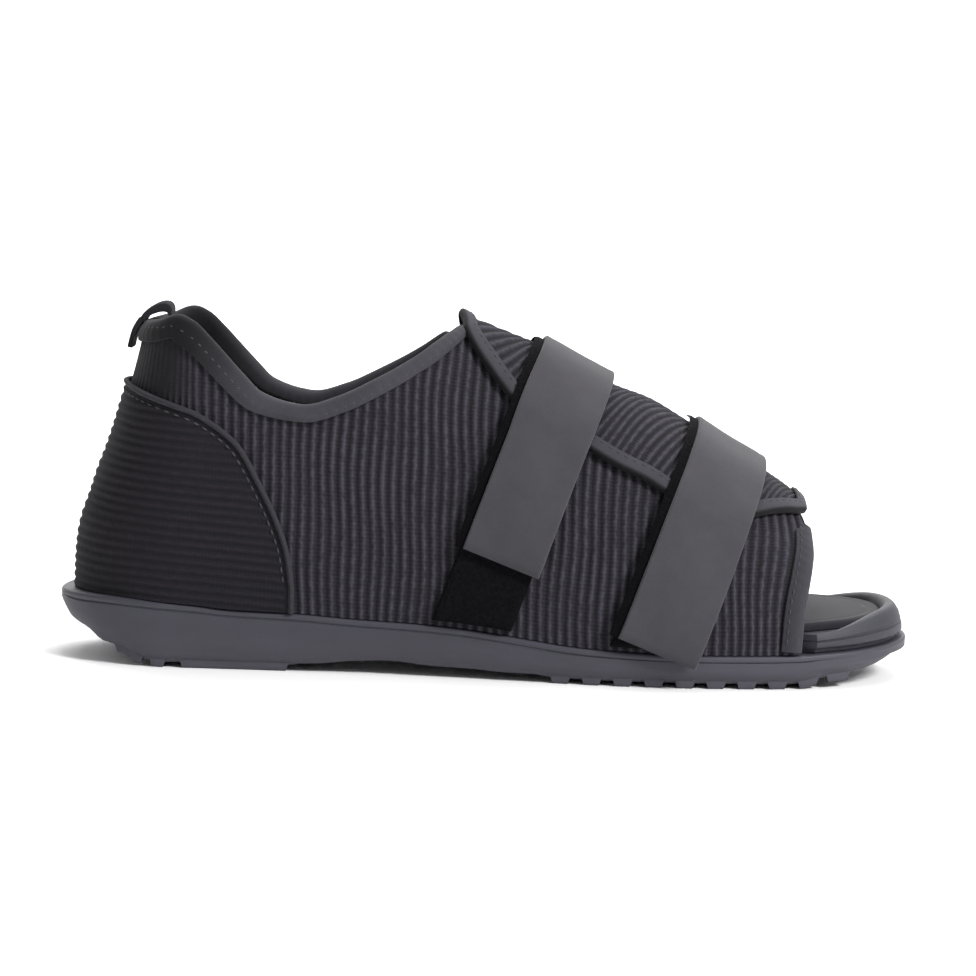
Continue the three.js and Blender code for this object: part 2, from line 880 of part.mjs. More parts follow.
function crossPoint(x, run, out) {
  const side = run <= 1 ? -1 : 1;
  return last(uOf(x, side), run <= 1 ? run : 2 - run, out);
}

function flapStations() {
  const turn = 6;
  return [...bodyStations(flapFrontX, turn, 6.6), ...bodyStations(turn - 4, flapRearX, 4)];
}

function flapGeometry() {
  const xs = flapStations();
  return sheetSolid(xs.length - 1, flapRows, (f, g, layer, i) => {
    const [from, to] = flapEdges(xs[i]);
    return crossPoint(xs[i], from + (to - from) * g, layer ? flapOuter : overlayStart);
  });
}

// Tape round the flap's rear, free and front edges: outer leg and edge only
function flapTapeGeometry() {
  const rear = flapEdges(flapRearX);
  const front = flapEdges(flapFrontX);
  const rowsOf = ([from, to]) => {
    return Array.from({ length: flapRows + 1 }, (_, i) => from + (to - from) * i / flapRows);
  };
  const path = rowsOf(rear).reverse().slice(1, -1).map((run) => [flapRearX, run]);
  flapStations().reverse().forEach((x) => path.push([x, flapEdges(x)[0]]));
  rowsOf(front).slice(1, -1).forEach((run) => path.push([flapFrontX, run]));
  const lower = flapOuter + 0.4;
  const foot = overlayStart + 0.2;
  const section = [
    [lower, flapTapeWidth], [flapTapeOuter, flapTapeWidth], [flapTapeOuter, -edgeGap - tapeThickness],
    [foot, -edgeGap - tapeThickness], [foot, -edgeGap], [lower, -edgeGap],
  ];
  const inside = crossPoint((flapRearX + flapFrontX) / 2, 1.1, 0);
  return tapeSolid(crossPoint, path, inside, () => section);
}

function tabGeometry() {
  const edge = topClimb(0);
  const legT = climbOf(Math.sin(edge * Math.PI / 2) - tabLeg / (ridgeTop - soleHeight));
  const outerLeg = wallThickness + edgeGap + tapeThickness + tabClearance;
  const innerLeg = -innerGap - tapeThickness - tabClearance;
  const top = last(0, edge, 0);
  const middle = last(0, edge, (outerLeg + innerLeg) / 2);
  const half = (outerLeg - innerLeg) / 2;
  const path = [];
  const foot = (out) => last(0, legT, out);
  const arc = (extra) => {
    const run = [foot(outerLeg + extra), last(0, edge, outerLeg + extra)];
    for (let k = 1; k < 8; k += 1) {
      const angle = Math.PI * k / 8;
      const x = middle.x - Math.cos(angle) * (half + extra) + tabLean * Math.sin(angle);
      const rise = (tabRise - tabShoulder + extra) * Math.sin(angle);
      run.push(new THREE.Vector3(x, 0, top.z + tabShoulder + rise));
    }
    run.push(last(0, edge, innerLeg - extra), foot(innerLeg - extra));
    return run;
  };
  const shell = arc(tabThickness);
  const hollow = arc(0);
  path.push(...shell, ...hollow.reverse());
  return stripSolid([tabWidth / 2, -tabWidth / 2], (y) => path.map((p) => {
    return new THREE.Vector3(p.x, y, p.z);
  }));
}

// Midsole stands inside the upper and comes out to the sole's edge ahead of the toe opening
function shelf(x) {
  return ramp(toeEndX - shelfStartSetback, toeEndX - shelfFullSetback, x);
}

function raised(x) {
  return ramp(toeEndX - bumperStartSetback, toeEndX - bumperFullSetback, x);
}

function innerInset(x, extra) {
  const heel = heelClearance * ramp(fanX, fanX - heelRampLength, x);
  const tape = tapeClearance
    * ramp(toeOpeningX - toeTapeRampStart, toeOpeningX - toeTapeRampEnd, x);
  const inside = lastInset(x) + seamGap + heel + tape;
  return inside + (toeShelfInset - inside) * shelf(x) + extra;
}

function midTop(x) {
  return soleTop(x) + seamGap + midsoleHeight;
}

function midsoleGeometry() {
  const groove = (x) => innerInset(x, (grooveInset - toeShelfInset) * shelf(x));
  const rim = bumperLean + bumperThickness;
  const sides = midsoleRows.map(([inset, lean, height, share]) => ring(
    (x) => innerInset(x, inset + bumperLean * lean * raised(x)),
    (x) => soleTop(x) + seamGap + height + bumperHeight * share * raised(x),
  ));
  return ringSolid([
    ring(groove, (x) => soleTop(x) + seamGap),
    ring(groove, (x) => soleTop(x) + seamGap + 1),
    ...sides,
    ring((x) => innerInset(x, 0.8 + rim * raised(x)), (x) => midTop(x) + bumperHeight * raised(x)),
    ring((x) => innerInset(x, 1 + rim * raised(x)), midTop),
  ]);
}

function insoleGeometry() {
  const rim = bumperLean + bumperThickness;
  const inset = (extra) => (x) => innerInset(x, insoleClearance + extra + rim * raised(x));
  const lower = (x) => midTop(x) + seamGap;
  return ringSolid([
    ring(inset(0), lower),
    ring(inset(0), (x) => lower(x) + insoleHeight - insoleRound),
    ring(inset(insoleRound), (x) => lower(x) + insoleHeight),
  ]);
}

const shoe = new THREE.Group();
shoe.name = 'post_operative_shoe';

function addPart(name, geometry, color, roughness) {
  const material = new THREE.MeshStandardMaterial({ color, roughness, metalness: 0 });
  material.name = name;
  const mesh = new THREE.Mesh(geometry, material);
  mesh.name = name;
  shoe.add(mesh);
}

addPart('outsole', outsoleGeometry(), '#4a4954', 0.7);
addPart('midsole', midsoleGeometry(), '#45444e', 0.75);
addPart('insole', insoleGeometry(), '#3b3a42', 0.9);
addPart('upper', upperGeometry(), '#34333a', 0.95);
addPart('front_flap', flapGeometry(), '#36353c', 0.95);
addPart('heel_counter', counterGeometry(), '#313038', 0.95);
addPart('collar_binding', collarTapeGeometry(), '#46454b', 0.8);
addPart('toe_binding_lateral', toeTapeGeometry(-1), '#46454b', 0.8);
addPart('toe_binding_medial', toeTapeGeometry(1), '#46454b', 0.8);
addPart('flap_binding', flapTapeGeometry(), '#4b4a50', 0.8);
addPart('strap_rear', strapGeometry(rearStrap), '#504f54', 0.85);
addPart('strap_front', strapGeometry(frontStrap), '#504f54', 0.85);
addPart('strap_backing_rear', backingGeometry(rearStrap), '#1b1a1f', 1);
addPart('strap_backing_front', backingGeometry(frontStrap), '#1b1a1f', 1);
addPart('loop_patch_rear', patchGeometry(rearStrap), '#17161b', 1);
addPart('loop_patch_front', patchGeometry(frontStrap), '#17161b', 1);
addPart('pull_tab', tabGeometry(), '#3f3e44', 0.85);

const bounds = new THREE.Box3().setFromObject(shoe);
const middle = bounds.getCenter(new THREE.Vector3());
shoe.position.set(-middle.x, -middle.y, -bounds.min.z);
shoe.updateMatrixWorld(true);

export default shoe;
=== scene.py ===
"""Post operative shoe: the visual pieces of a right shoe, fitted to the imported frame."""

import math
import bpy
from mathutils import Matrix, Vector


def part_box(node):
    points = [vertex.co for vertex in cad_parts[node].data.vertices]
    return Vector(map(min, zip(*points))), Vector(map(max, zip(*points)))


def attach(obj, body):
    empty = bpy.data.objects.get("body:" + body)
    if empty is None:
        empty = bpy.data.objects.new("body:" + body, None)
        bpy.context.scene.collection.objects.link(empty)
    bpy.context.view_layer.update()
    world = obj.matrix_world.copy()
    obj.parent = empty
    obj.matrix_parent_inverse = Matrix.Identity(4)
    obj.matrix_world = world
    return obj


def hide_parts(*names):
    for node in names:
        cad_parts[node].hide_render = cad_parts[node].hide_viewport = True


bl_info = {
    "name": "Post operative shoe",
    "version": (1, 0, 0),
    "blender": (4, 5, 0),
    "location": "3D View > Sidebar > Shoe",
    "description": "Open-toe shoe with ribbed mesh, hook-and-loop straps and a rocker sole",
    "category": "Object",
}

import bpy
import numpy as np
from mathutils import Matrix, Vector

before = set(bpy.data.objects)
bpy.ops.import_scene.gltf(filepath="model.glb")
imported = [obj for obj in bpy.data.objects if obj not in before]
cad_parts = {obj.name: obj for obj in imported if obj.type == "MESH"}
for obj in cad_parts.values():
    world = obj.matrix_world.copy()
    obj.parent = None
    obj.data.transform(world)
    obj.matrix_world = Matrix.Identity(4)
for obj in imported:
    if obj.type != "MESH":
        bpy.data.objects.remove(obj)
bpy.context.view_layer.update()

# Lengths below are millimetres of the shoe, turned to metres where a mesh is made
MM = 0.001
SOLE_LOW, SOLE_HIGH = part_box("outsole")
SOLE_LENGTH = (SOLE_HIGH.x - SOLE_LOW.x) / MM
BALL_WIDTH = (SOLE_HIGH.y - SOLE_LOW.y) / MM
SOLE_TOP_SHARE = 0.957
SOLE_HEIGHT = SOLE_HIGH.z / MM / SOLE_TOP_SHARE
SIDE_SHIFT = SOLE_LOW.y / MM + BALL_WIDTH / 2
HEEL_X = -SOLE_LENGTH / 2
TOE_X = SOLE_LENGTH / 2

# Sole
HEEL_CAP = 40
TOE_CAP = 52
HEEL_POWER = 2
TOE_POWER = 2.35
LUG_HEIGHT = 2.5
LUG_INSET = 2.4
LUG_LENGTH = 6
LUG_PITCH = 10.3
LUG_COUNT = 10
FRONT_LUG_SETBACK = 26.2
LUG_FLARE = 2.6
LUG_TAPER = 0.9
LUG_SOFTENING = 0.75
WEB_DEPTH = 0.95
MIDSOLE_HEIGHT = 6.2
INSOLE_HEIGHT = 2.6
SEAM_GAP = 0.3
SHELF_INSET = 1.2
SHELF_SETBACK = 34
SHELF_STEP = 4.6
HEEL_MARGIN = 5.2
FRONT_MARGIN = 4.4
GROOVE_INSET = 2.6
BUMPER_HEIGHT = 4.8
BUMPER_LEAN = 2.6
BUMPER_THICKNESS = 3.6
BUMPER_SETBACK = 7
SCUFF_TOP = 14
DUST = "#63616a"

# Upper
RIDGE_TOP = 190
WALL = 2.5
LAST_GAP = 3.3
HEEL_TUCK = 1.2
FAN_X = HEEL_X + 47
FAN_DEPTH = 40
FAN_LENGTH = 60
COLLAR_DEPTH = 17.6
COLLAR_HEIGHT = 113
OPENING_X = TOE_X - 37
OPENING_REACH = 34
FEATHER = 0.012
PLAIN_HEIGHTS = 84, 92
RIB_STEPS = 7
RIB_SHARPNESS = 1.15
KNIT_RISE = 0.12
SWING_PERIOD = 3.9
KNIT_PERIOD = 1.3
LINING_SHARE = 0.7

# Heights of the layers over the inside face
COUNTER_INNER = 3.25
COUNTER_OUTER = 4.1
FLAP_INNER = 3.1
FLAP_OUTER = 4.9
PATCH_OUTER = 5.5
BACKING_INNER = 6.4
BACKING_OUTER = 7
STRAP_INNER = 7.2
STRAP_OUTER = 8.6
STRAP_SEWN_INNER = 3
STRAP_SEWN_OUTER = 4.6
STRAP_WIDTH = 26.8
STRAP_EDGE = 0.7
BACKING_REACH = 0.55
BACKING_SHOW = 3
PATCH_WIDTH = 25.8
PILE_EDGE = 1.2
PATCH_SHIFT = -2
SEWN_CLIMB = 0.03
SEWN_FROM, SEWN_TO = 0.46, 0.3
CURL_LENGTH = 18
CURL_MIDDLE, CURL_SPREAD = 1.06, 0.11
CURL_BACK, CURL_RISE = 3.4, 1.5

# Tapes
TAPE = 0.8
EDGE_GAP = 0.5
INNER_GAP = 1
TAPE_LIFT = 0.35
COLLAR_TAPE = 4.3
HEEL_TAPE = 6.4
TOE_TAPE = 5.8
FLAP_TAPE = 3.7
TOE_TAPE_TOP = {-1: 0.87, 1: 0.7}
PIPING_WIDTH = 1.8
PIPING_RISE = 1.45
COUNTER_SLOPE = 0.07
COUNTER_FADE = 2.6, 4.2
TAB_PAD = 1.5

# Stage, with the paper's sizes in metres
AIM_X = 0.4
PAPER_SIDE, PAPER_NEAR, PAPER_FAR, PAPER_BEND, PAPER_TOP = 8, -9, 2, 1.2, 4
BEND_STEPS = 12

# Share of sole length, lateral and medial half width, sideways place of the ridge
PLAN_ROWS = [
    (0, 0.74, 0.72, 0),
    (0.13, 0.745, 0.725, 0),
    (0.26, 0.755, 0.69, 0),
    (0.37, 0.785, 0.635, 0.02),
    (0.47, 0.85, 0.65, 0.06),
    (0.57, 0.93, 0.77, 0.1),
    (0.66, 0.995, 0.905, 0.12),
    (0.73, 1, 0.985, 0.12),
    (0.8, 0.965, 1, 0.12),
    (0.87, 0.905, 0.965, 0.1),
    (1, 0.8, 0.87, 0.08),
]

# Share of sole length, top edge and underside of the sole as shares of its height
SOLE_ROWS = [
    (0, 0.917, 0.7),
    (0.017, 0.935, 0.53),
    (0.04, 0.95, 0.44),
    (0.061, 0.957, 0.29),
    (0.08, 0.954, 0.265),
    (0.107, 0.935, 0.14),
    (0.125, 0.92, 0.104),
    (0.175, 0.883, 0.104),
    (0.2, 0.854, 0.104),
    (0.285, 0.817, 0.104),
    (0.305, 0.805, 0.108),
    (0.349, 0.77, 0.163),
    (0.395, 0.75, 0.19),
    (0.44, 0.73, 0.146),
    (0.487, 0.69, 0.133),
    (0.53, 0.63, 0.104),
    (0.62, 0.513, 0.104),
    (0.75, 0.467, 0.104),
    (0.865, 0.48, 0.104),
    (0.89, 0.5, 0.175),
    (0.919, 0.515, 0.208),
    (0.941, 0.53, 0.235),
    (0.965, 0.55, 0.31),
    (0.982, 0.57, 0.39),
    (1, 0.59, 0.53),
]

# Share of sole length, height of the ridge over its virtual top, fullness of the section
RIDGE_ROWS = [
    (0.16, 1, 2.3),
    (0.22, 0.91, 2.3),
    (0.3, 0.81, 2.25),
    (0.37, 0.715, 2.15),
    (0.415, 0.65, 2.1),
    (0.4635, 0.597, 2.1),
    (0.498, 0.581, 2.1),
    (0.522, 0.568, 2.1),
    (0.548, 0.553, 2.15),
    (0.6, 0.513, 2.2),
    (0.644, 0.48, 2.25),
    (0.682, 0.46, 2.25),
    (0.724, 0.424, 2.3),
    (0.774, 0.377, 2.3),
    (0.803, 0.352, 2.3),
    (0.84, 0.317, 2.3),
    (0.869, 0.287, 2.3),
    (1, 0.22, 2.3),
]

# Height over the collar height, place of the centre back as a share of the fan depth
BACK_ROWS = [
    (0.195, 0.97),
    (0.3, 0.965),
    (0.363, 0.95),
    (0.407, 0.925),
    (0.476, 0.86),
    (0.557, 0.79),
    (0.609, 0.735),
    (0.686, 0.665),
    (0.769, 0.6),
    (0.824, 0.55),
    (0.897, 0.498),
    (0.961, 0.455),
    (1, 0.395),
    (1.06, 0.36),
]

# Share of sole length, collar edge height over the collar height
COLLAR_ROWS = [
    (0.101, 0.997),
    (0.12, 1.008),
    (0.1414, 1.027),
    (0.157, 1.01),
    (0.172, 0.975),
    (0.19, 0.927),
    (0.213, 0.865),
    (0.236, 0.81),
    (0.272, 0.779),
    (0.289, 0.774),
    (0.3286, 0.802),
    (0.369, 0.852),
    (0.417, 0.922),
    (0.4407, 0.965),
    (0.4635, 1),
]

# Share of sole length, then shares of section height at the lateral and medial
# quarter edges, the flap's free edge and its sewn edge
THROAT_ROWS = [
    (0.4635, 0.985, 0.93, 0.99, 0.7),
    (0.475, 0.97, 0.915, 0.955, 0.7),
    (0.4935, 0.955, 0.895, 0.9, 0.7),
    (0.512, 0.945, 0.88, 0.85, 0.7),
    (0.532, 0.935, 0.87, 0.81, 0.7),
    (0.625, 0.93, 0.86, 0.755, 0.7),
    (0.675, 0.935, 0.86, 0.72, 0.7),
    (0.716, 0.94, 0.86, 0.688, 0.7),
    (0.745, 0.945, 0.86, 0.685, 0.7),
    (0.79, 0.96, 0.87, 0.74, 0.7),
    (0.826, 0.97, 0.88, 0.84, 0.71),
    (0.86, 0.98, 0.89, 0.94, 0.72),
    (0.87, 0.985, 0.89, 0.965, 0.72),
]

# Share of section height, setback of the toe opening edge over its reach
OPENING_ROWS = [
    (0, 0.124),
    (0.3, 0.097),
    (0.5, 0.05),
    (0.62, 0.02),
    (0.74, 0),
    (0.87, 0.01),
    (0.95, 0.05),
    (1, 0.13),
]

# Share of sole length, counter edge height over the collar height
COUNTER_ROWS = [
    (0.1, 0.826),
    (0.1538, 0.774),
    (0.2114, 0.679),
    (0.246, 0.536),
    (0.265, 0.435),
    (0.2766, 0.348),
    (0.2828, 0.25),
]

# Start and end of the heel's tread bars, as shares of the sole length
HEEL_BAR_ROWS = [(0.081, 0.107), (0.118, 0.134), (0.153, 0.276)]

# Soft troughs and ridges of the quarters: side, place along, distance up the cloth,
# length, width, turn in degrees, depth
CREASE_ROWS = [
    (-1, -40, 62, 46, 8, 8, 1.4),
    (-1, -28, 44, 30, 4.5, 62, 1.1),
    (-1, -12, 56, 42, 5, 74, 1.3),
    (-1, 2, 38, 30, 5, 80, -0.6),
    (-1, -52, 34, 26, 5, 40, 0.9),
    (-1, 36, 40, 34, 4.5, 76, 1.1),
    (-1, 46, 30, 26, 5, 60, -0.5),
    (-1, 88, 30, 24, 4.5, 84, 0.8),
    (1, -36, 58, 44, 9, 10, 0.9),
    (1, -14, 46, 40, 6, 70, 0.8),
    (1, 20, 30, 34, 7, 20, 0.7),
    (1, 52, 34, 30, 6, 65, 0.6),
]

COUNTER_REACH = FAN_LENGTH + HEEL_X + COUNTER_ROWS[-1][0] * SOLE_LENGTH - FAN_X
THROAT_X = HEEL_X + THROAT_ROWS[0][0] * SOLE_LENGTH
FLAP_REAR_X = THROAT_X + 1.1
FLAP_FRONT_X = OPENING_X - 2.3
REAR_STRAP = {"name": "rear", "ridge": 0.5941, "lean": 19.6, "end": 63.2, "loop_top": 0.6}
FRONT_STRAP = {"name": "front", "ridge": 0.7745, "lean": 20.5, "end": 63.4, "loop_top": 0.52}


def linear(code):
    """An sRGB hex colour as linear RGBA."""
    parts = [int(code[i:i + 2], 16) / 255 for i in (1, 3, 5)]
    return tuple(c / 12.92 if c < 0.04045 else ((c + 0.055) / 1.055) ** 2.4 for c in parts) + (1,)


def colour_prop(name, description, code):
    """A colour setting whose default is an sRGB hex value."""
    return bpy.props.FloatVectorProperty(
        name=name, description=description, subtype="COLOR", size=4,
        min=0, max=1, default=linear(code),
    )


def length_prop(name, description, default):
    """A length setting, in metres, whose default is given in millimetres."""
    return bpy.props.FloatProperty(
        name=name, description=description, default=default * MM, unit="LENGTH",
    )


class ShoeCloth(bpy.types.PropertyGroup):
    """Ribbed mesh, tapes and straps."""

    rib_pitch: length_prop("Rib pitch", "Distance between the upper's ribs", 3.35)
    counter_pitch: length_prop("Counter rib pitch", "Distance between the counter's ribs", 2.9)
    flap_pitch: length_prop("Flap rib pitch", "Distance between the flap's ribs", 2.3)
    rib_depth: length_prop("Rib depth", "Depth of the grooves between the ribs", 0.6)
    stitch_pitch: length_prop("Stitch pitch", "Distance between stitches", 3.2)
    flap_turn: bpy.props.FloatProperty(
        name="Flap rib turn", description="Turn of the flap's ribs from its length",
        default=math.radians(68), subtype="ANGLE",
    )
    mesh: colour_prop("Mesh", "Tops of the ribs", "#3d3b42")
    # The groove colour is dark for the pinholes and also as painted shade in the hollows between the
    # ribs
    groove: colour_prop("Groove", "Grooves between the ribs", "#1a191d")
    # The counter is darker than the mesh partly in its own cloth and partly as painted shade over
    # the heel
    counter: colour_prop("Counter", "Tops of the counter's ribs", "#232126")
    lining: colour_prop("Lining", "Inside of the upper", "#1f1e22")
    tape: colour_prop("Tape", "Bindings and piping", "#38373c")
    # The tab is darker than the tapes partly in its own webbing and partly as painted shade at the
    # heel
    tab: colour_prop("Pull tab", "Webbing of the pull tab", "#242327")
    strap: colour_prop("Strap", "Brushed strap cloth", "#3e3d41")
    hook: colour_prop("Hook tape", "Backing of the straps", "#070609")
    pile: colour_prop("Loop pile", "Patches under the strap ends", "#09080b")
    thread: colour_prop("Thread", "Sewing thread", "#3d3c42")


class ShoeSole(bpy.types.PropertyGroup):
    """Outsole, midsole and insole."""

    rubber: colour_prop("Outsole", "Moulded rubber", "#36353e")
    foam: colour_prop("Midsole", "Moulded foam", "#302f37")
    cover: colour_prop("Insole", "Cloth cover of the insole", "#29282d")
    lug_round: length_prop("Lug rounding", "Rounding of the tread bars", 0.8)


class ShoeStage(bpy.types.PropertyGroup):
    """Camera, floor and lights."""

    elevation: bpy.props.FloatProperty(
        name="Elevation", description="Camera height angle", default=math.radians(6),
        subtype="ANGLE",
    )
    roll: bpy.props.FloatProperty(
        name="Roll", description="Camera roll", default=math.radians(1.65), subtype="ANGLE",
    )
    distance: length_prop("Distance", "Camera distance from the shoe", 1200)
    aim_height: length_prop("Aim height", "Height at the picture's centre", 59.55)
    lens: bpy.props.FloatProperty(
        name="Lens", description="Focal length in mm on a 36 mm sensor", default=128.99,
    )
    paper: colour_prop("Paper", "Floor and backdrop", "#fafafa")


# Tables, sole and last

def curve(rows, column, at):
    """Monotone curve through one column of a table, read at many places."""
    data = np.array(rows, float)
    xs, ys = data[:, 0], data[:, column]
    gap = np.diff(xs)
    slope = np.diff(ys) / gap
    bend = np.empty_like(ys)
    bend[0], bend[-1] = slope[0], slope[-1]
    before, after = slope[:-1], slope[1:]
    same = before * after > 0
    bend[1:-1] = np.where(same, 2 * before * after / np.where(same, before + after, 1), 0)
    at = np.clip(at, xs[0], xs[-1])
    k = np.clip(np.searchsorted(xs, at, side="right") - 1, 0, len(xs) - 2)
    f = (at - xs[k]) / gap[k]
    return (
        ys[k] * (1 + 2 * f) * (1 - f) ** 2 + bend[k] * gap[k] * f * (1 - f) ** 2
        + ys[k + 1] * f * f * (3 - 2 * f) + bend[k + 1] * gap[k] * f * f * (f - 1)
    )


def share_of(x):
    return (x - HEEL_X) / SOLE_LENGTH


def ramp(start, end, at):
    f = np.clip((at - start) / (end - start), 0, 1)
    return f * f * (3 - 2 * f)


def sole_top(x):
    return curve(SOLE_ROWS, 1, share_of(x)) * SOLE_HEIGHT


def sole_under(x):
    return curve(SOLE_ROWS, 2, share_of(x)) * SOLE_HEIGHT


def cap_share(x):
    heel = np.clip((HEEL_X + HEEL_CAP - x) / HEEL_CAP, 0, 1)
    toe = np.clip((x - TOE_X + TOE_CAP) / TOE_CAP, 0, 1)
    return (1 - heel ** HEEL_POWER) ** (1 / HEEL_POWER) * (1 - toe ** TOE_POWER) ** (1 / TOE_POWER)


def half_width(x, side):
    at = share_of(x)
    return np.where(side < 0, curve(PLAN_ROWS, 1, at), curve(PLAN_ROWS, 2, at)) * BALL_WIDTH / 2


def ridge_y(x):
    return curve(PLAN_ROWS, 3, share_of(x)) * BALL_WIDTH / 2


def last_inset(x):
    return LAST_GAP + HEEL_TUCK * ramp(FAN_X + 20, FAN_X - 20, x)


def fan_place(u):
    """Where u lies along the shoe, and how far it has turned round the heel."""
    reach = np.abs(u)
    turn = np.minimum(reach / FAN_LENGTH, 1) * math.pi / 2
    return FAN_X + np.maximum(reach - FAN_LENGTH, 0), turn


def face(u, t):
    """Inside face of the upper: u runs round the foot, t climbs from feather to ridge."""
    u, t = np.broadcast_arrays(np.asarray(u, float), np.asarray(t, float))
    side = np.where(u < 0, -1, 1)
    x, angle = fan_place(u)
    at = share_of(x)
    top = curve(RIDGE_ROWS, 1, at) * RIDGE_TOP
    turn = math.pi / 2 * t
    shrink = np.maximum(np.cos(np.maximum(turn, 0)), 0) ** (2 / curve(RIDGE_ROWS, 2, at))
    centre = ridge_y(x)
    half = (half_width(x, side) - last_inset(x)) * cap_share(x) - side * centre
    base = sole_top(x - FAN_DEPTH * np.cos(angle)) + SEAM_GAP
    z = base + (top - base) * np.sin(turn)
    depth = curve(BACK_ROWS, 1, z / COLLAR_HEIGHT) * FAN_DEPTH
    y = centre + side * half * shrink * np.sin(angle)
    return np.stack([x - depth * np.cos(angle), y, z], -1)


def wall_at(u, t, out):
    """Point at a height over the inside face of the upper."""
    u, t, out = np.broadcast_arrays(*[np.asarray(v, float) for v in (u, t, out)])
    step, reach = 0.002, 0.4
    point = face(u, t)
    up = face(u, np.minimum(t + step, 1)) - face(u, np.minimum(t, 1) - step)
    along = face(u + reach, t) - face(u - reach, t)
    normal = np.cross(up, along)
    normal /= np.linalg.norm(normal, axis=-1, keepdims=True)
    moved = point + normal * out[..., None]
    hold = np.maximum(0, 1 - np.abs(t) * 3) ** 2
    moved[..., 2] += (sole_top(moved[..., 0]) - sole_top(point[..., 0])) * hold
    return moved


def u_of(x, side):
    return side * (FAN_LENGTH + x - FAN_X)


def climb_of(share):
    return np.arcsin(np.clip(share, 0, 1)) * 2 / math.pi


def plan_x(u):
    """Place along the shoe of the collar's line."""
    x, turn = fan_place(u)
    return x - COLLAR_DEPTH * np.cos(turn)


def share_of_height(u, z):
    """Height z as a share of the section's height at u."""
    x, turn = fan_place(u)
    base = sole_top(x - FAN_DEPTH * np.cos(turn)) + SEAM_GAP
    top = curve(RIDGE_ROWS, 1, share_of(x)) * RIDGE_TOP
    return (z - base) / (top - base)


def top_climb(u):
    """Upper edge of the quarters and the collar."""
    at = share_of(plan_x(u))
    throat = np.where(u < 0, curve(THROAT_ROWS, 1, at), curve(THROAT_ROWS, 2, at))
    limit = np.where(u < 0, THROAT_ROWS[0][1], THROAT_ROWS[0][2])
    collar = share_of_height(u, curve(COLLAR_ROWS, 1, at) * COLLAR_HEIGHT)
    return climb_of(np.where(at >= THROAT_ROWS[0][0], throat, np.minimum(collar, limit)))


def counter_top(u):
    """Upper edge of the heel counter."""
    z = curve(COUNTER_ROWS, 1, share_of(plan_x(u))) * COLLAR_HEIGHT
    return climb_of(share_of_height(u, z))


def opening_u(u, t):
    """Place along the foot, moved back near the toe by the opening's curve."""
    weight = ramp(OPENING_X - OPENING_REACH, OPENING_X, plan_x(u))
    back = curve(OPENING_ROWS, 1, np.sin(math.pi / 2 * t)) * OPENING_REACH
    return u - np.where(u < 0, -1, 1) * back * weight


def cross_at(x, run, out):
    """Point over the ridge: run 0 to 1 is lateral, 1 to 2 medial."""
    x, run, out = np.broadcast_arrays(*[np.asarray(v, float) for v in (x, run, out)])
    side = np.where(run <= 1, -1, 1)
    return wall_at(u_of(x, side), np.where(run <= 1, run, 2 - run), out)


def flap_at(x, run, out):
    """Point over the ridge, with the flap's rear edge curled up and back in the middle."""
    near = ramp(FLAP_REAR_X + CURL_LENGTH, FLAP_REAR_X, x)
    middle = np.exp(-((run - CURL_MIDDLE) / CURL_SPREAD) ** 2)
    return cross_at(x - CURL_BACK * near * middle, run, out + CURL_RISE * near ** 2 * middle)


def flap_edges(x):
    at = share_of(x)
    return climb_of(curve(THROAT_ROWS, 3, at)), 2 - climb_of(curve(THROAT_ROWS, 4, at))


def band_ridge(band):
    x = HEEL_X + band["ridge"] * SOLE_LENGTH
    return x, face(u_of(x, -1), 1)[2], math.radians(band["lean"])


def band_x(band, w, side, t):
    """Place along the foot of a strap's line w, between two leaning planes."""
    ridge_x, ridge_z, lean = band_ridge(band)
    x = np.full(np.broadcast(w, t).shape, ridge_x)
    for _ in range(12):
        z = face(u_of(x, side), t)[..., 2]
        x = ridge_x + (w + (z - ridge_z) * math.sin(lean)) / math.cos(lean)
    return x


def band_start(band, w):
    """Climb of the strap's lateral end on its line w."""
    ridge_x, ridge_z, lean = band_ridge(band)
    low, high = np.full(np.shape(w), -0.3), np.ones(np.shape(w))
    for _ in range(24):
        t = (low + high) / 2
        x = band_x(band, w, -1, t)
        z = face(u_of(x, -1), t)[..., 2]
        down = (ridge_z - z) * math.cos(lean) + (ridge_x - x) * math.sin(lean)
        low = np.where(down > band["end"], t, low)
        high = np.where(down > band["end"], high, t)
    return (low + high) / 2


# Meshes

def lengths_along(points, axis):
    """Running length of a grid of points along one axis."""
    gaps = np.linalg.norm(np.diff(points, axis=axis), axis=-1)
    return np.insert(np.cumsum(gaps, axis=axis), 0, 0, axis=axis)


def new_mesh(name, points, faces, uv=None, marks=None):
    """A mesh object from points in mm, its faces turned outwards."""
    points = np.asarray(points, float)
    ids = np.array([f[:3] for f in faces])
    a, b, c = points[ids[:, 0]], points[ids[:, 1]], points[ids[:, 2]]
    tail = np.array([f[-1] for f in faces])
    d = points[tail]
    volume = np.einsum("ij,ij->", a, np.cross(b, c)) + np.einsum("ij,ij->", a, np.cross(c, d))
    if volume < 0:
        faces = [tuple(reversed(f)) for f in faces]
    mesh = bpy.data.meshes.new(name)
    mesh.from_pydata((points + (0, SIDE_SHIFT, 0)) * MM, [], faces)
    if uv is not None:
        layer = mesh.uv_layers.new(name="cloth")
        loops = np.empty(len(mesh.loops), np.int32)
        mesh.loops.foreach_get("vertex_index", loops)
        layer.data.foreach_set("uv", (np.asarray(uv)[loops] * MM).astype(np.float32).ravel())
    for key, values in (marks or {}).items():
        mark = mesh.attributes.new(key, "FLOAT", "POINT")
        mark.data.foreach_set("value", np.asarray(values, np.float32).ravel())
    obj = bpy.data.objects.new(name, mesh)
    bpy.context.collection.objects.link(obj)
    return obj


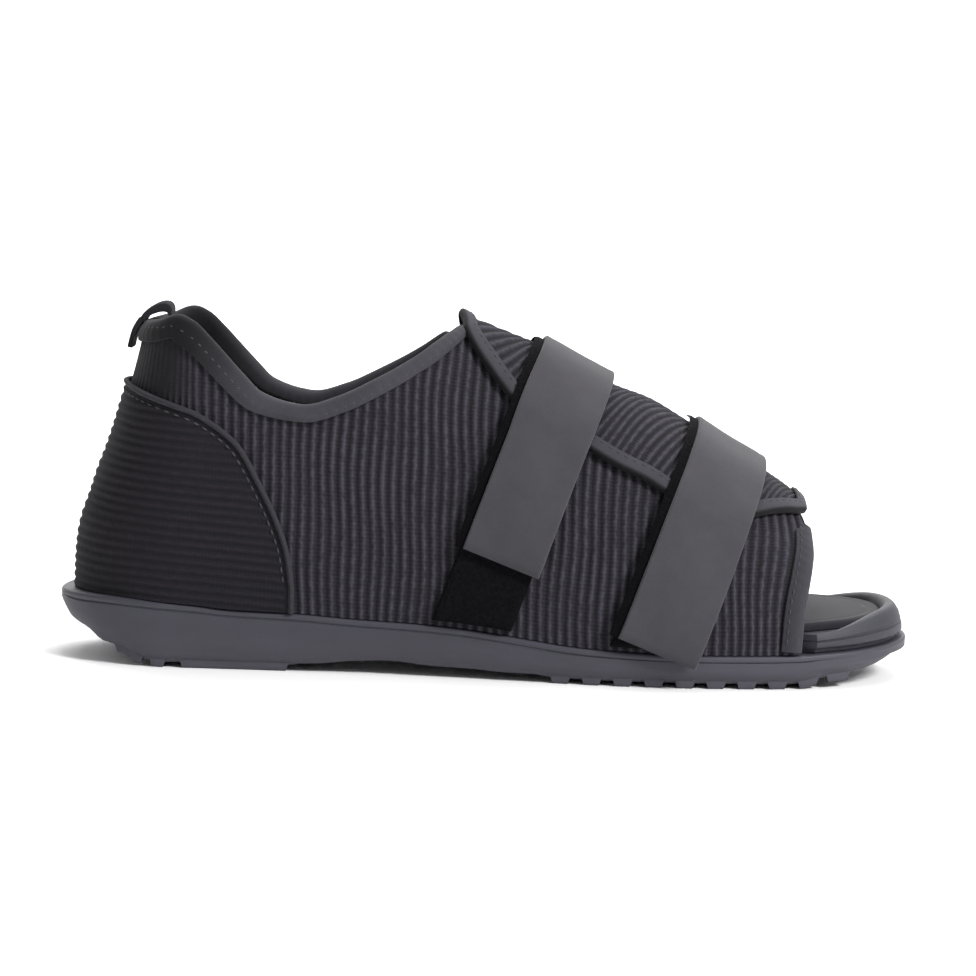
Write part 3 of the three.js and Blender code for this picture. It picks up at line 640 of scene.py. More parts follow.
def shell(name, inner, outer, across, run, marks=None):
    """Closed wall between two grids of points, with its cloth laid out by across and run."""
    n, m = inner.shape[:2]
    count = n * m
    ids = np.arange(count).reshape(n, m)
    a, b, c, d = ids[:-1, :-1], ids[1:, :-1], ids[1:, 1:], ids[:-1, 1:]
    sheet = np.stack([a, b, c, d], -1).reshape(-1, 4)
    rim = np.concatenate([ids[:, 0], ids[-1, 1:], ids[-2::-1, -1], ids[0, -2:0:-1]])
    after = np.roll(rim, -1)
    wall = np.stack([rim, rim + count, after + count, after], -1)
    faces = np.concatenate([sheet + count, sheet[:, ::-1], wall])
    points = np.concatenate([inner.reshape(-1, 3), outer.reshape(-1, 3)])
    uv = np.stack(np.broadcast_arrays(across, run), -1).reshape(-1, 2)
    marks = {
        key: np.concatenate([np.zeros(count), np.broadcast_to(value, (n, m)).reshape(-1)])
        for key, value in (marks or {}).items()
    }
    faces = [tuple(f) for f in faces.tolist()]
    return new_mesh(name, points, faces, np.concatenate([uv, uv]), marks), len(sheet)


def ring_faces(n, k, capped=True):
    """Quads between n rings of k points, and a face over each end."""
    ids = np.arange(n * k).reshape(n, k)
    turned = np.roll(ids, -1, axis=1)
    skin = np.stack([ids[:-1], turned[:-1], turned[1:], ids[1:]], -1).reshape(-1, 4)
    ends = [ids[0][::-1].tolist(), ids[-1].tolist()] if capped else []
    return [tuple(f) for f in skin.tolist() + ends]


def tube(name, rings, uv, marks=None):
    """Closed skin over a row of rings, each ring a closed loop of points."""
    faces = ring_faces(*rings.shape[:2])
    return new_mesh(name, rings.reshape(-1, 3), faces, uv.reshape(-1, 2), marks)


def use_only(obj):
    """Makes obj the one selected object."""
    bpy.ops.object.select_all(action="DESELECT")
    obj.select_set(True)
    bpy.context.view_layer.objects.active = obj


def finish(obj, nodes, materials, angle=38):
    """Smooths a piece, gives it its materials and ties it to the frame."""
    use_only(obj)
    bpy.ops.object.shade_smooth_by_angle(angle=math.radians(angle))
    obj.data.materials.clear()
    for material in materials:
        obj.data.materials.append(material)
    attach(obj, "root")
    if nodes:
        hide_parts(*nodes)
    obj.select_set(False)
    return obj


def edge_steps(at, p, q, inside):
    """Unit steps of p and q square to an edge, towards a place inside the piece."""
    here = at(p, q, 0)
    along_p = (at(p + 0.3, q, 0) - at(p - 0.3, q, 0)) / 0.6
    along_q = (at(p, q + 0.002, 0) - at(p, q - 0.002, 0)) / 0.004
    run = np.gradient(here, axis=0)
    normal = np.cross(along_p, along_q)
    inward = np.cross(normal, run)
    inward /= np.linalg.norm(inward, axis=-1, keepdims=True)
    inward *= np.sign(np.sum(inward * (inside - here), -1, keepdims=True))
    pp, pq, qq = [np.sum(x * y, -1) for x, y in (
        (along_p, along_p), (along_p, along_q), (along_q, along_q))]
    fp, fq = np.sum(inward * along_p, -1), np.sum(inward * along_q, -1)
    area = pp * qq - pq * pq
    return (fp * qq - fq * pq) / area, (fq * pp - fp * pq) / area


def even_path(at, p, q, step):
    """The same path with points a step apart."""
    run = lengths_along(at(p, q, 0), 0)
    count = max(2, int(round(run[-1] / step)) + 1)
    even = np.linspace(0, run[-1], count)
    return np.interp(even, run, p), np.interp(even, run, q), even


def folded_ring(outer, inner, width, count=9):
    """Outline of a tape folded round an edge: heights and depths inside the edge."""
    # Share of the leg, rise of the outer leg and of the inner one, both sewn down at the end
    legs_rise = [(1, -0.5, 0.75), (0.86, -0.32, 0.5), (0.7, 0.1, 0.15), (0.5, 0.26, 0),
                 (0.25, 0.16, 0)]
    middle, half = (outer + inner) / 2, (outer - inner) / 2
    nose = EDGE_GAP + TAPE + 1
    legs = []
    for grow in (TAPE / 2, -TAPE / 2):
        angles = np.linspace(0, math.pi, count)
        arc = [(middle + (half + grow) * math.cos(a), 1 - (nose + grow) * math.sin(a))
               for a in angles]
        down = [(outer + grow + rise, 1 + (width - 1) * at) for at, rise, _ in legs_rise]
        back = [(inner - grow + rise, 1 + (width - 1) * at) for at, _, rise in legs_rise[::-1]]
        legs.append(down + arc + back)
    ends = [[(height, width + 0.12)] for height in (inner + 0.75, outer - 0.5)]
    return np.array(legs[0] + ends[0] + legs[1][::-1] + ends[1])


def tape_piece(name, at, p, q, inside, ring, shade, pucker=0.0, pitch=3.2):
    """Tape along an edge. ring gives heights and depths, shade the places of painted shade."""
    p, q, run = even_path(at, p, q, 0.8)
    step_p, step_q = edge_steps(at, p, q, inside)
    rings = np.array([ring(s) for s in run / run[-1]])
    out, deep = rings[..., 0], rings[..., 1]
    wave = pucker * np.cos(2 * math.pi * run / pitch)[:, None] * (deep > 0.5)
    points = at(p[:, None] + step_p[:, None] * deep, q[:, None] + step_q[:, None] * deep,
                out + wave * np.sign(out - 1))
    across = lengths_along(points, 1)
    uv = np.stack([np.broadcast_to(run[:, None], across.shape), across], -1)
    darker = shade(p[:, None], deep)
    return tube(name, points, uv, {"shade": np.broadcast_to(darker, across.shape)})


def seam_places(at, p, q, inside, deep, out, pitch):
    """Centres, directions and normals of a row of stitches beside an edge."""
    p, q, _ = even_path(at, p, q, 1.0)
    step_p, step_q = edge_steps(at, p, q, inside)
    p, q = p + step_p * deep, q + step_q * deep
    p, q, _ = even_path(at, p, q, pitch)
    centres = at(p, q, out)
    ahead = np.gradient(centres, axis=0)
    ahead /= np.linalg.norm(ahead, axis=-1, keepdims=True)
    normal = at(p, q, out + 1) - centres
    return centres[1:-1], ahead[1:-1], normal[1:-1]


# Materials

def add(tree, kind, inputs=None, **settings):
    """One node with its settings; inputs maps sockets to values or to other sockets."""
    made = tree.nodes.new(kind)
    for key, value in settings.items():
        setattr(made, key, value)
    for key, value in (inputs or {}).items():
        if isinstance(value, bpy.types.NodeSocket):
            tree.links.new(value, made.inputs[key])
        else:
            made.inputs[key].default_value = value
    return made


def new_material(name, roughness, sheen=0.0, specular=0.5):
    """A material with its shader, and the values that are the same all over."""
    material = bpy.data.materials.new(name)
    material.use_nodes = True
    tree = material.node_tree
    shader = tree.nodes["Principled BSDF"]
    shader.inputs["Roughness"].default_value = roughness
    shader.inputs["Sheen Weight"].default_value = sheen
    shader.inputs["Sheen Roughness"].default_value = 0.45
    shader.inputs["Specular IOR Level"].default_value = specular
    return material, tree, shader


def mixed(tree, factor, a, b, kind="MIX"):
    """Colour mix of two colours or sockets."""
    made = add(tree, "ShaderNodeMix", {"Factor": factor}, data_type="RGBA", blend_type=kind)
    for socket, value in ((made.inputs[6], a), (made.inputs[7], b)):
        if isinstance(value, bpy.types.NodeSocket):
            tree.links.new(value, socket)
        else:
            socket.default_value = value
    return made.outputs[2]


def maths(tree, a, b, operation="MULTIPLY", clamp=False):
    return add(tree, "ShaderNodeMath", {0: a, 1: b}, operation=operation, use_clamp=clamp).outputs[0]


def sine_of(tree, coordinate, rate, kind="SINE"):
    """Sine or cosine of a coordinate times a rate in turns, from -1 to 1."""
    phase = maths(tree, coordinate, rate * 2 * math.pi)
    return add(tree, "ShaderNodeMath", {0: phase}, operation=kind).outputs[0]


def spread(tree, value, low, high, at_low, at_high, kind="LINEAR"):
    """A value moved from one range to another and held at its ends."""
    return add(tree, "ShaderNodeMapRange", {0: value, 1: low, 2: high, 3: at_low, 4: at_high},
               interpolation_type=kind).outputs[0]


def wave_of(tree, coordinate, period):
    """Cosine of a coordinate, from 0 to 1, with a period in mm."""
    return spread(tree, sine_of(tree, coordinate, 1 / (period * MM), "COSINE"), -1, 1, 0, 1)


def noise(tree, place, scale, detail, roughness=0.5):
    return add(tree, "ShaderNodeTexNoise", {
        "Vector": place, "Scale": scale, "Detail": detail, "Roughness": roughness}).outputs[0]


def marked(tree, name):
    """An attribute of the mesh's points."""
    return add(tree, "ShaderNodeAttribute", attribute_name=name).outputs["Fac"]


def tinted(tree, colour, tone):
    """A colour times a grey tone."""
    grey = add(tree, "ShaderNodeCombineColor", {0: tone, 1: tone, 2: tone}).outputs[0]
    return mixed(tree, 1.0, tuple(colour), grey, "MULTIPLY")


def surface(tree, shader, colour, height, strength, distance):
    """Joins to the shader a colour, and a height as a bump so many mm deep."""
    bump = add(tree, "ShaderNodeBump", {
        "Strength": strength, "Distance": distance * MM, "Height": height})
    tree.links.new(colour, shader.inputs["Base Color"])
    tree.links.new(bump.outputs[0], shader.inputs["Normal"])


def ribbed_mesh(name, cloth, top, turn=0.0):
    """Spacer mesh: polyester knit whose ribs swing apart round long pinholes, matt."""
    material, tree, shader = new_material(name, 0.85, sheen=0.03, specular=0.1)
    place = add(tree, "ShaderNodeUVMap", uv_map="cloth").outputs[0]
    turned = add(tree, "ShaderNodeMapping", {"Vector": place, "Rotation": (0, 0, turn)})
    along = add(tree, "ShaderNodeSeparateXYZ", {0: turned.outputs[0]}).outputs[1]
    count = marked(tree, "phase")
    patchy = noise(tree, place, 34.0, 4.0, 0.65)
    fuzz = noise(tree, place, 1500.0, 3.0, 0.6)
    # Neighbouring ribs swing apart and together, and each has knit loops along it
    swing = maths(tree, sine_of(tree, along, 1 / (SWING_PERIOD * MM)),
                  sine_of(tree, count, 0.5, "COSINE"))
    reach = spread(tree, patchy, 0.35, 0.68, 0.01, 0.06)
    moved = maths(tree, count, maths(tree, swing, reach), "ADD")
    rib = sine_of(tree, moved, 1.0, "COSINE")
    yarn = sine_of(tree, moved, 3.0, "COSINE")
    loops = sine_of(tree, along, 1 / (KNIT_PERIOD * MM))
    # Light tops over dark grooves, the grooves' darkness partly painted shade, worn in places, and a
    # faint second yarn in the groove
    tone = spread(tree, rib, -0.7, 0.9, 0.0, 1.0, "SMOOTHSTEP")
    worn = maths(tree, spread(tree, patchy, 0.3, 0.7, 1.05, 0.62),
                 spread(tree, noise(tree, place, 330.0, 2.0), 0.36, 0.62, 0.68, 1.14))
    between = maths(tree, spread(tree, rib, -0.5, -0.98, 0.0, 0.22),
                    spread(tree, patchy, 0.36, 0.6, 0.2, 1.0))
    tone = maths(tree, maths(tree, tone, worn), between, "ADD")
    for detail, share in ((yarn, 0.1), (loops, 0.08)):
        tone = maths(tree, tone, maths(tree, detail, share), "ADD")
    grain = spread(tree, fuzz, 0.3, 0.7, 0.75, 1.2)
    tone = maths(tree, tone, grain, clamp=True)
    # Plain places take a near black tone, the plain cloth's own colour and, at the back of the
    # collar, painted shade
    blend = add(tree, "ShaderNodeMix", {
        "Factor": marked(tree, "plain"), 2: tone, 3: maths(tree, grain, 0.08)})
    colour = mixed(tree, blend.outputs[0], tuple(cloth.groove), tuple(top))
    # The counter's piping is tinted to the tape's colour, partly as its own tape and partly as a
    # painted highlight on its ridge
    colour = mixed(tree, marked(tree, "trim_and_highlight"), colour, tuple(cloth.tape))
    relief = fuzz
    for detail, share in ((rib, 0.5), (yarn, 0.2), (loops, 0.15)):
        relief = maths(tree, relief, maths(tree, detail, share), "ADD")
    surface(tree, shader, colour, relief, 0.5, 0.25)
    return material


def plain_cloth(name, colour, roughness, sheen, thread, bump_size, mottle=0.16, twill=True):
    """Woven or brushed cloth: fine threads, slight mottling and a soft surface."""
    material, tree, shader = new_material(name, roughness, sheen=sheen, specular=0.12)
    place = add(tree, "ShaderNodeUVMap", uv_map="cloth").outputs[0]
    across, along = add(tree, "ShaderNodeSeparateXYZ", {0: place}).outputs[:2]
    if twill:
        threads = wave_of(tree, maths(tree, across, along, "ADD"), thread * 1.6)
    else:
        threads = maths(tree, wave_of(tree, across, thread), wave_of(tree, along, thread))
    fuzz = noise(tree, place, 2200.0, 4.0, 0.7)
    tone = maths(tree, maths(tree, threads, 0.25), maths(tree, fuzz, 0.6), "ADD")
    light = spread(tree, tone, 0.15, 0.65, 1 - mottle, 1 + mottle)
    patchy = spread(tree, noise(tree, place, 45.0, 5.0, 0.6), 0.3, 0.7, 1 - mottle, 1 + mottle)
    # Painted shade where the mesh carries a shade mark: the heel's back, under the flap tape's edge,
    # the toe tape's face
    kept = spread(tree, marked(tree, "shade"), 0, 1, 1.0, 0.12)
    shade = maths(tree, maths(tree, light, patchy), kept)
    surface(tree, shader, tinted(tree, colour, shade), tone, 0.5, bump_size)
    return material


def pile_cloth(name, colour, grain):
    """Dense loops or hooks: a matt rough face that swallows light."""
    material, tree, shader = new_material(name, 0.95, sheen=0.0, specular=0.08)
    place = add(tree, "ShaderNodeTexCoord").outputs["Object"]
    loops = add(tree, "ShaderNodeTexVoronoi", {"Vector": place, "Scale": 1 / (grain * MM)})
    tone = maths(tree, loops.outputs["Distance"], noise(tree, place, 900.0, 4.0))
    colour = tinted(tree, colour, spread(tree, tone, 0.0, 0.5, 0.55, 1.6))
    surface(tree, shader, colour, tone, 0.8, 0.5)
    return material


def moulded(name, colour, roughness, grain, scuff):
    """Moulded rubber or foam: fine grain, dulled and scuffed a little low down."""
    material, tree, shader = new_material(name, roughness, specular=0.4)
    place = add(tree, "ShaderNodeTexCoord").outputs["Object"]
    height = add(tree, "ShaderNodeSeparateXYZ", {0: place}).outputs[2]
    fine = noise(tree, place, 1 / (grain * MM), 3.0)
    broad = noise(tree, place, 30.0, 5.0, 0.65)
    level = add(tree, "ShaderNodeMapping", {"Vector": place, "Scale": (40.0, 40.0, 420.0)})
    streak = noise(tree, level.outputs[0], 1.0, 4.0, 0.7)
    low = spread(tree, height, 0.0, SCUFF_TOP * MM, 1.0, 0.0)
    dust = maths(tree, maths(tree, low, streak), scuff)
    base = tinted(tree, colour, spread(tree, broad, 0.3, 0.7, 0.88, 1.1))
    base = mixed(tree, dust, base, linear(DUST))
    rough = spread(tree, broad, 0.3, 0.7, roughness - 0.08, roughness + 0.1)
    tree.links.new(rough, shader.inputs["Roughness"])
    relief = maths(tree, fine, maths(tree, streak, 0.5), "ADD")
    surface(tree, shader, base, relief, 0.35, 0.15)
    return material


# Sole pieces

def sole_loop(cap_steps=26, middle_steps=60):
    """Outline of the sole from heel to toe along the lateral side and back."""
    turn = np.cos(np.arange(cap_steps) / cap_steps * math.pi / 2)
    heel = HEEL_X + HEEL_CAP * (1 - turn ** (2 / HEEL_POWER))
    toe = TOE_X - TOE_CAP * (1 - turn ** (2 / TOE_POWER))
    middle = np.linspace(HEEL_X + HEEL_CAP, TOE_X - TOE_CAP, middle_steps + 1)
    xs = np.concatenate([heel, middle, toe[::-1]])
    lateral = np.stack([xs, -half_width(xs, -1) * cap_share(xs)], -1)
    medial = np.stack([xs, half_width(xs, 1) * cap_share(xs)], -1)[-2:0:-1]
    lateral[0, 1] = 0
    lateral[-1, 1] = 0.03 * BALL_WIDTH
    return np.concatenate([lateral, medial])


def ring(inset, height, loop):
    """The outline moved inwards, at a height given by a function of x."""
    along = np.roll(loop, -1, axis=0) - np.roll(loop, 1, axis=0)
    along /= np.linalg.norm(along, axis=1, keepdims=True)
    amount = inset(loop[:, 0]) if callable(inset) else inset
    x = loop[:, 0] - along[:, 1] * amount
    y = loop[:, 1] + along[:, 0] * amount
    return np.stack([x, y, height(x)], -1)


def ring_stack(name, rings):
    """Closed solid over a stack of rings, capped by ladders across the loop."""
    k, n = len(rings), len(rings[0])
    faces = ring_faces(k, n, capped=False)
    top = (k - 1) * n
    for i in range(n // 2):
        corners = list(dict.fromkeys([i, (n - i) % n, n - i - 1, i + 1]))
        faces.append(tuple(corners))
        faces.append(tuple(top + c for c in reversed(corners)))
    points = np.concatenate(rings)
    return new_mesh(name, points, faces, points[:, :2])


def shelf(x):
    """From 0 inside the upper to 1 where the midsole fills the open toe."""
    start = TOE_X - SHELF_SETBACK
    return ramp(start - SHELF_STEP, start, x)


def raised(x):
    """Climb of the bumper towards the toe."""
    return ramp(TOE_X - SHELF_SETBACK, TOE_X - BUMPER_SETBACK, x)


def inner_inset(x, extra):
    """Inset that clears the upper's wall, and the tapes at the heel and the toe."""
    inside = (last_inset(x) + SEAM_GAP + HEEL_MARGIN * ramp(FAN_X, FAN_X - 30, x)
              + FRONT_MARGIN * ramp(OPENING_X - 46, OPENING_X - 9, x))
    return inside + (SHELF_INSET - inside) * shelf(x) + extra


def mid_top(x):
    return sole_top(x) + SEAM_GAP + MIDSOLE_HEIGHT


def boolean(obj, other, operation):
    """Applies a boolean of another object and removes that object."""
    use_only(obj)
    cut = obj.modifiers.new("cut", "BOOLEAN")
    cut.object = other
    cut.operation = operation
    cut.solver = "EXACT"
    bpy.ops.object.modifier_apply(modifier=cut.name)
    bpy.data.objects.remove(other, do_unlink=True)


class SHOE_OT_outsole(bpy.types.Operator):
    """Builds the outsole: moulded side with a lip, and bars cut to the outline"""

    bl_idname = "shoe.outsole"
    bl_label = "Outsole"

    def execute(self, context):
        sole = context.scene.shoe_sole
        loop = sole_loop()
        # Inset, share of the side's height, then height added to that share
        rows = [
            (5.2, 0, 0), (4.2, 0, 0.05), (3.0, 0, 0.3), (2.0, 0, 0.8), (1.2, 0.04, 1.3),
            (0.6, 0.18, 0.9), (0.3, 0.32, 0.3), (0.12, 0.45, 0), (0.05, 0.6, 0),
            (0, 0.75, 0), (0.02, 1, -3.3), (0.1, 1, -2.7), (0.42, 1, -2.4), (0.45, 1, -2.2),
            (0.12, 1, -1.95), (-0.02, 1, -1.7), (-0.08, 1, -1.2), (0, 1, -0.6),
            (0.25, 1, -0.25), (0.65, 1, -0.05), (1.2, 1, 0),
        ]
        front_end = TOE_X - FRONT_LUG_SETBACK - (LUG_COUNT - 1) * LUG_PITCH - LUG_LENGTH / 2
        heel_end = HEEL_X + HEEL_BAR_ROWS[-1][1] * SOLE_LENGTH

        def web(x):
            """Rubber left standing between the bars of both treads."""
            front = ramp(front_end - 5, front_end, x) * ramp(TOE_X - 18, TOE_X - 26, x)
            heel = ramp(heel_end + 4, heel_end, x) * ramp(HEEL_X + 19, HEEL_X + 24, x)
            return WEB_DEPTH * (front + heel)

        body = ring_stack("outsole_rubber", [
            ring(inset, lambda x, s=share, e=extra: (
                sole_under(x) + (sole_top(x) - sole_under(x)) * s + e
                - web(x) * max(0, 1 - e / 0.9) * (s == 0)), loop)
            for inset, share, extra in rows
        ])
        round_by = sole.lug_round / MM
        blank = ring_stack("tread_blank", [
            ring(LUG_INSET + inset, lambda x, h=height: sole_under(x) + h, loop)
            for inset, height in (
                (round_by * 1.3, -LUG_HEIGHT), (round_by * 0.6, -LUG_HEIGHT + round_by * 0.2),
                (round_by * 0.15, -LUG_HEIGHT + round_by * 0.8), (0, -LUG_HEIGHT + round_by * 1.4),
                (0, 1.2))
        ])
        bars = [(HEEL_X + a * SOLE_LENGTH, HEEL_X + b * SOLE_LENGTH) for a, b in HEEL_BAR_ROWS]
        for i in range(LUG_COUNT):
            middle = TOE_X - FRONT_LUG_SETBACK - i * LUG_PITCH
            bars.append((middle - LUG_LENGTH / 2, middle + LUG_LENGTH / 2))
        made = []
        middle_z, tall = 4 * MM, 10 * MM
        for start, end in bars:
            middle = (start + end) / 2 * MM
            bpy.ops.object.select_all(action="DESELECT")
            bpy.ops.mesh.primitive_cube_add(
                size=1, location=(middle, 0, middle_z),
                scale=((end - start) * MM, BALL_WIDTH * 2 * MM, tall))
            bar = context.object
            bpy.ops.object.transform_apply(location=True, rotation=False, scale=True)
            # The sides of a bar lean out towards the sole
            for corner in bar.data.vertices:
                way = 1 if corner.co.x > middle else -1
                corner.co.x += way * (LUG_FLARE if corner.co.z > middle_z else -LUG_TAPER) * MM
            made.append(bar)
        bpy.ops.object.select_all(action="DESELECT")
        for bar in made:
            bar.select_set(True)
        context.view_layer.objects.active = made[0]
        bpy.ops.object.join()
        boolean(blank, made[0], "INTERSECT")
        use_only(blank)
        soften = blank.modifiers.new("soften", "BEVEL")
        soften.width = LUG_SOFTENING * MM
        soften.segments = 3
        soften.limit_method = "ANGLE"
        soften.angle_limit = math.radians(60)
        bpy.ops.object.modifier_apply(modifier=soften.name)
        boolean(body, blank, "UNION")
        finish(body, ["outsole"],
               [moulded("outsole_rubber", sole.rubber, 0.58, 0.45, 0.35)], angle=32)
        return {"FINISHED"}


class SHOE_OT_midsole(bpy.types.Operator):
    """Builds the midsole with its raised toe bumper"""

    bl_idname = "shoe.midsole"
    bl_label = "Midsole"

    def execute(self, context):
        sole = context.scene.shoe_sole
        loop = sole_loop()
        groove = GROOVE_INSET - SHELF_INSET
        # Inset, share of the groove, lean and rim, height over the sole's edge,
        # share of the bumper's height
        rows = [
            (0.3, 1, 0, 0, 0, 0), (0.1, 1, 0, 0, 0.5, 0), (0.1, 0.9, 0, 0, 1.1, 0),
            (0, 0.35, 0, 0, 1.5, 0), (0, 0.05, 0, 0, 2.0, 0), (0, 0, 0.05, 0, 3.0, 0.1),
            (0.02, 0, 0.1, 0, 3.5, 0.18), (0.5, 0, 0.14, 0, 3.75, 0.22),
            (0.5, 0, 0.16, 0, 3.95, 0.26), (0.05, 0, 0.2, 0, 4.2, 0.3),
            (0.2, 0, 0.45, 0, 5.2, 0.6), (0.45, 0, 0.8, 0, 5.9, 0.85),
            (0.6, 0, 1, 0.12, 6.2, 0.97), (0.7, 0, 1, 0.35, 6.2, 1.04), (0.8, 0, 1, 0.6, 6.2, 1.03),
            (0.85, 0, 1, 0.85, 6.2, 0.93), (0.9, 0, 1, 1, 6.2, 0.7), (1, 0, 1, 1.05, 6.2, 0.35),
            (1.1, 0, 1, 1.1, 6.2, 0),
        ]
        rings = [
            ring(lambda x, a=inset, g=cut, n=lean, m=edge: inner_inset(
                    x, a + groove * g * shelf(x)
                    + (BUMPER_LEAN * n + BUMPER_THICKNESS * m) * raised(x)),
                 lambda x, h=height, s=share: (
                    sole_top(x) + SEAM_GAP + h + BUMPER_HEIGHT * s * raised(x)), loop)
            for inset, cut, lean, edge, height, share in rows
        ]
        body = ring_stack("midsole_foam", rings)
        finish(body, ["midsole"],
               [moulded("midsole_foam", sole.foam, 0.62, 0.6, 0.0)], angle=40)
        return {"FINISHED"}


class SHOE_OT_insole(bpy.types.Operator):
    """Builds the cloth covered insole"""

    bl_idname = "shoe.insole"
    bl_label = "Insole"

    def execute(self, context):
        sole = context.scene.shoe_sole
        loop = sole_loop()
        rim, clearance = BUMPER_LEAN + BUMPER_THICKNESS, 1.5
        # Inset and height: a rounded edge with a stitched hollow inside it
        rows = [(0, 0), (-0.05, 0.6), (0, 1.4), (0.25, 2.0), (0.7, 2.4), (1.4, 2.6), (2.6, 2.62),
                (4, 2.5), (4.5, 2.4), (5, 2.5), (6, 2.6)]
        rings = [
            ring(lambda x, a=inset: inner_inset(x, clearance + a + rim * shelf(x)),
                 lambda x, h=height: mid_top(x) + SEAM_GAP + h, loop)
            for inset, height in rows
        ]
        body = ring_stack("insole_cover", rings)
        cover = plain_cloth("insole_cloth", sole.cover, 0.9, 0.15, 0.9, 0.2, twill=False)
        finish(body, ["insole"], [cover], angle=60)
        return {"FINISHED"}


# Upper and overlays

def creases(u, v):
    """Troughs and ridges of the quarters from the listed rows, as heights in mm."""
    total = np.zeros(np.broadcast(u, v).shape)
    for side, x, height, length, width, turn, depth in CREASE_ROWS:
        du, dv = (u - u_of(x, side)) * side, v - height
        angle = math.radians(turn)
        along = du * math.cos(angle) + dv * math.sin(angle)
        across = -du * math.sin(angle) + dv * math.cos(angle)
        total -= depth * np.exp(-(along / (length / 2)) ** 2 - (across / width) ** 2)
    return total


def rib_height(phase):
    """Rounded rib: 1 on its top and 0 in the groove."""
    return (0.5 + 0.5 * np.cos(2 * math.pi * phase)) ** RIB_SHARPNESS


class SHOE_OT_upper(bpy.types.Operator):
    """Builds the quarters as one hollow ribbed wall with its lining"""

    bl_idname = "shoe.upper"
    bl_label = "Upper"

    def execute(self, context):
        cloth = context.scene.shoe_cloth
        pitch, depth = cloth.rib_pitch / MM, cloth.rib_depth / MM
        reach = FAN_LENGTH + OPENING_X - FAN_X
        us = np.linspace(-reach, reach, int(2 * reach / pitch * RIB_STEPS))[:, None]
        g = np.linspace(0, 1, 27)[None, :]
        t = top_climb(us) * g
        u = opening_u(us, t)
        v = lengths_along(face(u, t), 1)
        soft = creases(u, v)
        # The ribs of a stretched knit wander a little from straight
        wander = 0.16 * np.sin(v / 16 + us / 23) + 0.1 * np.sin(v / 6.5 - us / 13 + 1.1)
        phase = us / pitch + wander
        height = face(u, t)[..., 2]
        # The smooth cloth at the collar's back is dark in its material, partly as painted shade
        plain = ramp(*PLAIN_HEIGHTS, height) * ramp(FAN_LENGTH + 12, FAN_LENGTH - 18, np.abs(us))
        ribs = rib_height(phase) * (1 - plain) + 0.6 * plain
        outer = wall_at(u, t, WALL + KNIT_RISE + soft - depth * (1 - ribs))
        inner = wall_at(u, t, soft * LINING_SHARE)
        marks = {"phase": phase, "plain": plain, "trim_and_highlight": 0}
        obj, sheet = shell("quarter_mesh", inner, outer, us, v, marks)
        mesh = ribbed_mesh("ribbed_mesh_quarter", cloth, cloth.mesh)
        lining = plain_cloth("brushed_lining", cloth.lining, 0.92, 0.2, 0.8, 0.15)
        finish(obj, ["upper"], [mesh, lining], angle=60)
        index = np.zeros(len(obj.data.polygons), np.int32)
        index[sheet:2 * sheet] = 1
        obj.data.polygons.foreach_set("material_index", index)
        return {"FINISHED"}


class SHOE_OT_counter(bpy.types.Operator):
    """Builds the heel counter with level ribs and a piped edge"""

    bl_idname = "shoe.counter"
    bl_label = "Heel counter"

    def execute(self, context):
        cloth = context.scene.shoe_cloth
        pitch, depth = cloth.counter_pitch / MM, cloth.rib_depth / MM * 0.8
        # Columns are closest by the front edges, where the piping and the stitches are
        near = np.concatenate([
            np.arange(0, 4.5, 0.35), np.arange(4.5, 26, 0.6), np.arange(26, COUNTER_REACH, 1.8)])
        us = np.concatenate([near - COUNTER_REACH, (COUNTER_REACH - near)[::-1]])[:, None]
        g = np.concatenate([np.linspace(0, 0.93, 150), np.linspace(0.93, 1, 22)[1:]])[None, :]
        t = counter_top(us) * g
        points = face(us, t)
        v = lengths_along(points, 1)
        gap = self.edge_distance(us + 0 * v, v)
        height = points[..., 2]
        phase = (height + COUNTER_SLOPE * points[..., 0]) / pitch
        fade = ramp(*COUNTER_FADE, gap)
        ribs = rib_height(phase) * fade + 0.25 * (1 - fade)
        body = COUNTER_OUTER - depth * (1 - ribs)
        pipe = np.sqrt(np.clip(1 - ((gap - PIPING_WIDTH / 2) / (PIPING_WIDTH / 2)) ** 2, 0, 1))
        edge = COUNTER_INNER + np.maximum(0.25 + PIPING_RISE * pipe, 0.3)
        on_pipe = gap < PIPING_WIDTH + 0.1
        outer = wall_at(us, t, np.where(on_pipe, edge, body))
        inner = wall_at(us, t, COUNTER_INNER)
        # Piping tint: partly the tape's own colour, partly a painted highlight along its ridge
        marks = {"phase": phase, "plain": 1 - fade, "trim_and_highlight": np.where(on_pipe, 0.7, 0.0)}
        obj, _ = shell("counter_mesh", inner, outer, us, v, marks)
        # The counter's darker colour is partly painted shade over the heel
        mesh = ribbed_mesh("ribbed_mesh_counter", cloth, cloth.counter, math.pi / 2)
        finish(obj, ["heel_counter"], [mesh], angle=60)
        return {"FINISHED"}

    def edge_distance(self, u, v):
        """Distance of each place from the counter's top and front edges."""
        edge = np.stack([u[:, -1], v[:, -1]], -1)
        edge = np.concatenate([[(edge[0, 0], -5)], edge, [(edge[-1, 0], -5)]])
        places = np.stack([u, v], -1).reshape(-1, 2)
        best = np.full(len(places), 1e9)
        for a, b in zip(edge[:-1], edge[1:]):
            span = b - a
            f = np.clip(((places - a) @ span) / (span @ span), 0, 1)
            best = np.minimum(best, np.linalg.norm(places - a - f[:, None] * span, axis=1))
        return best.reshape(u.shape)


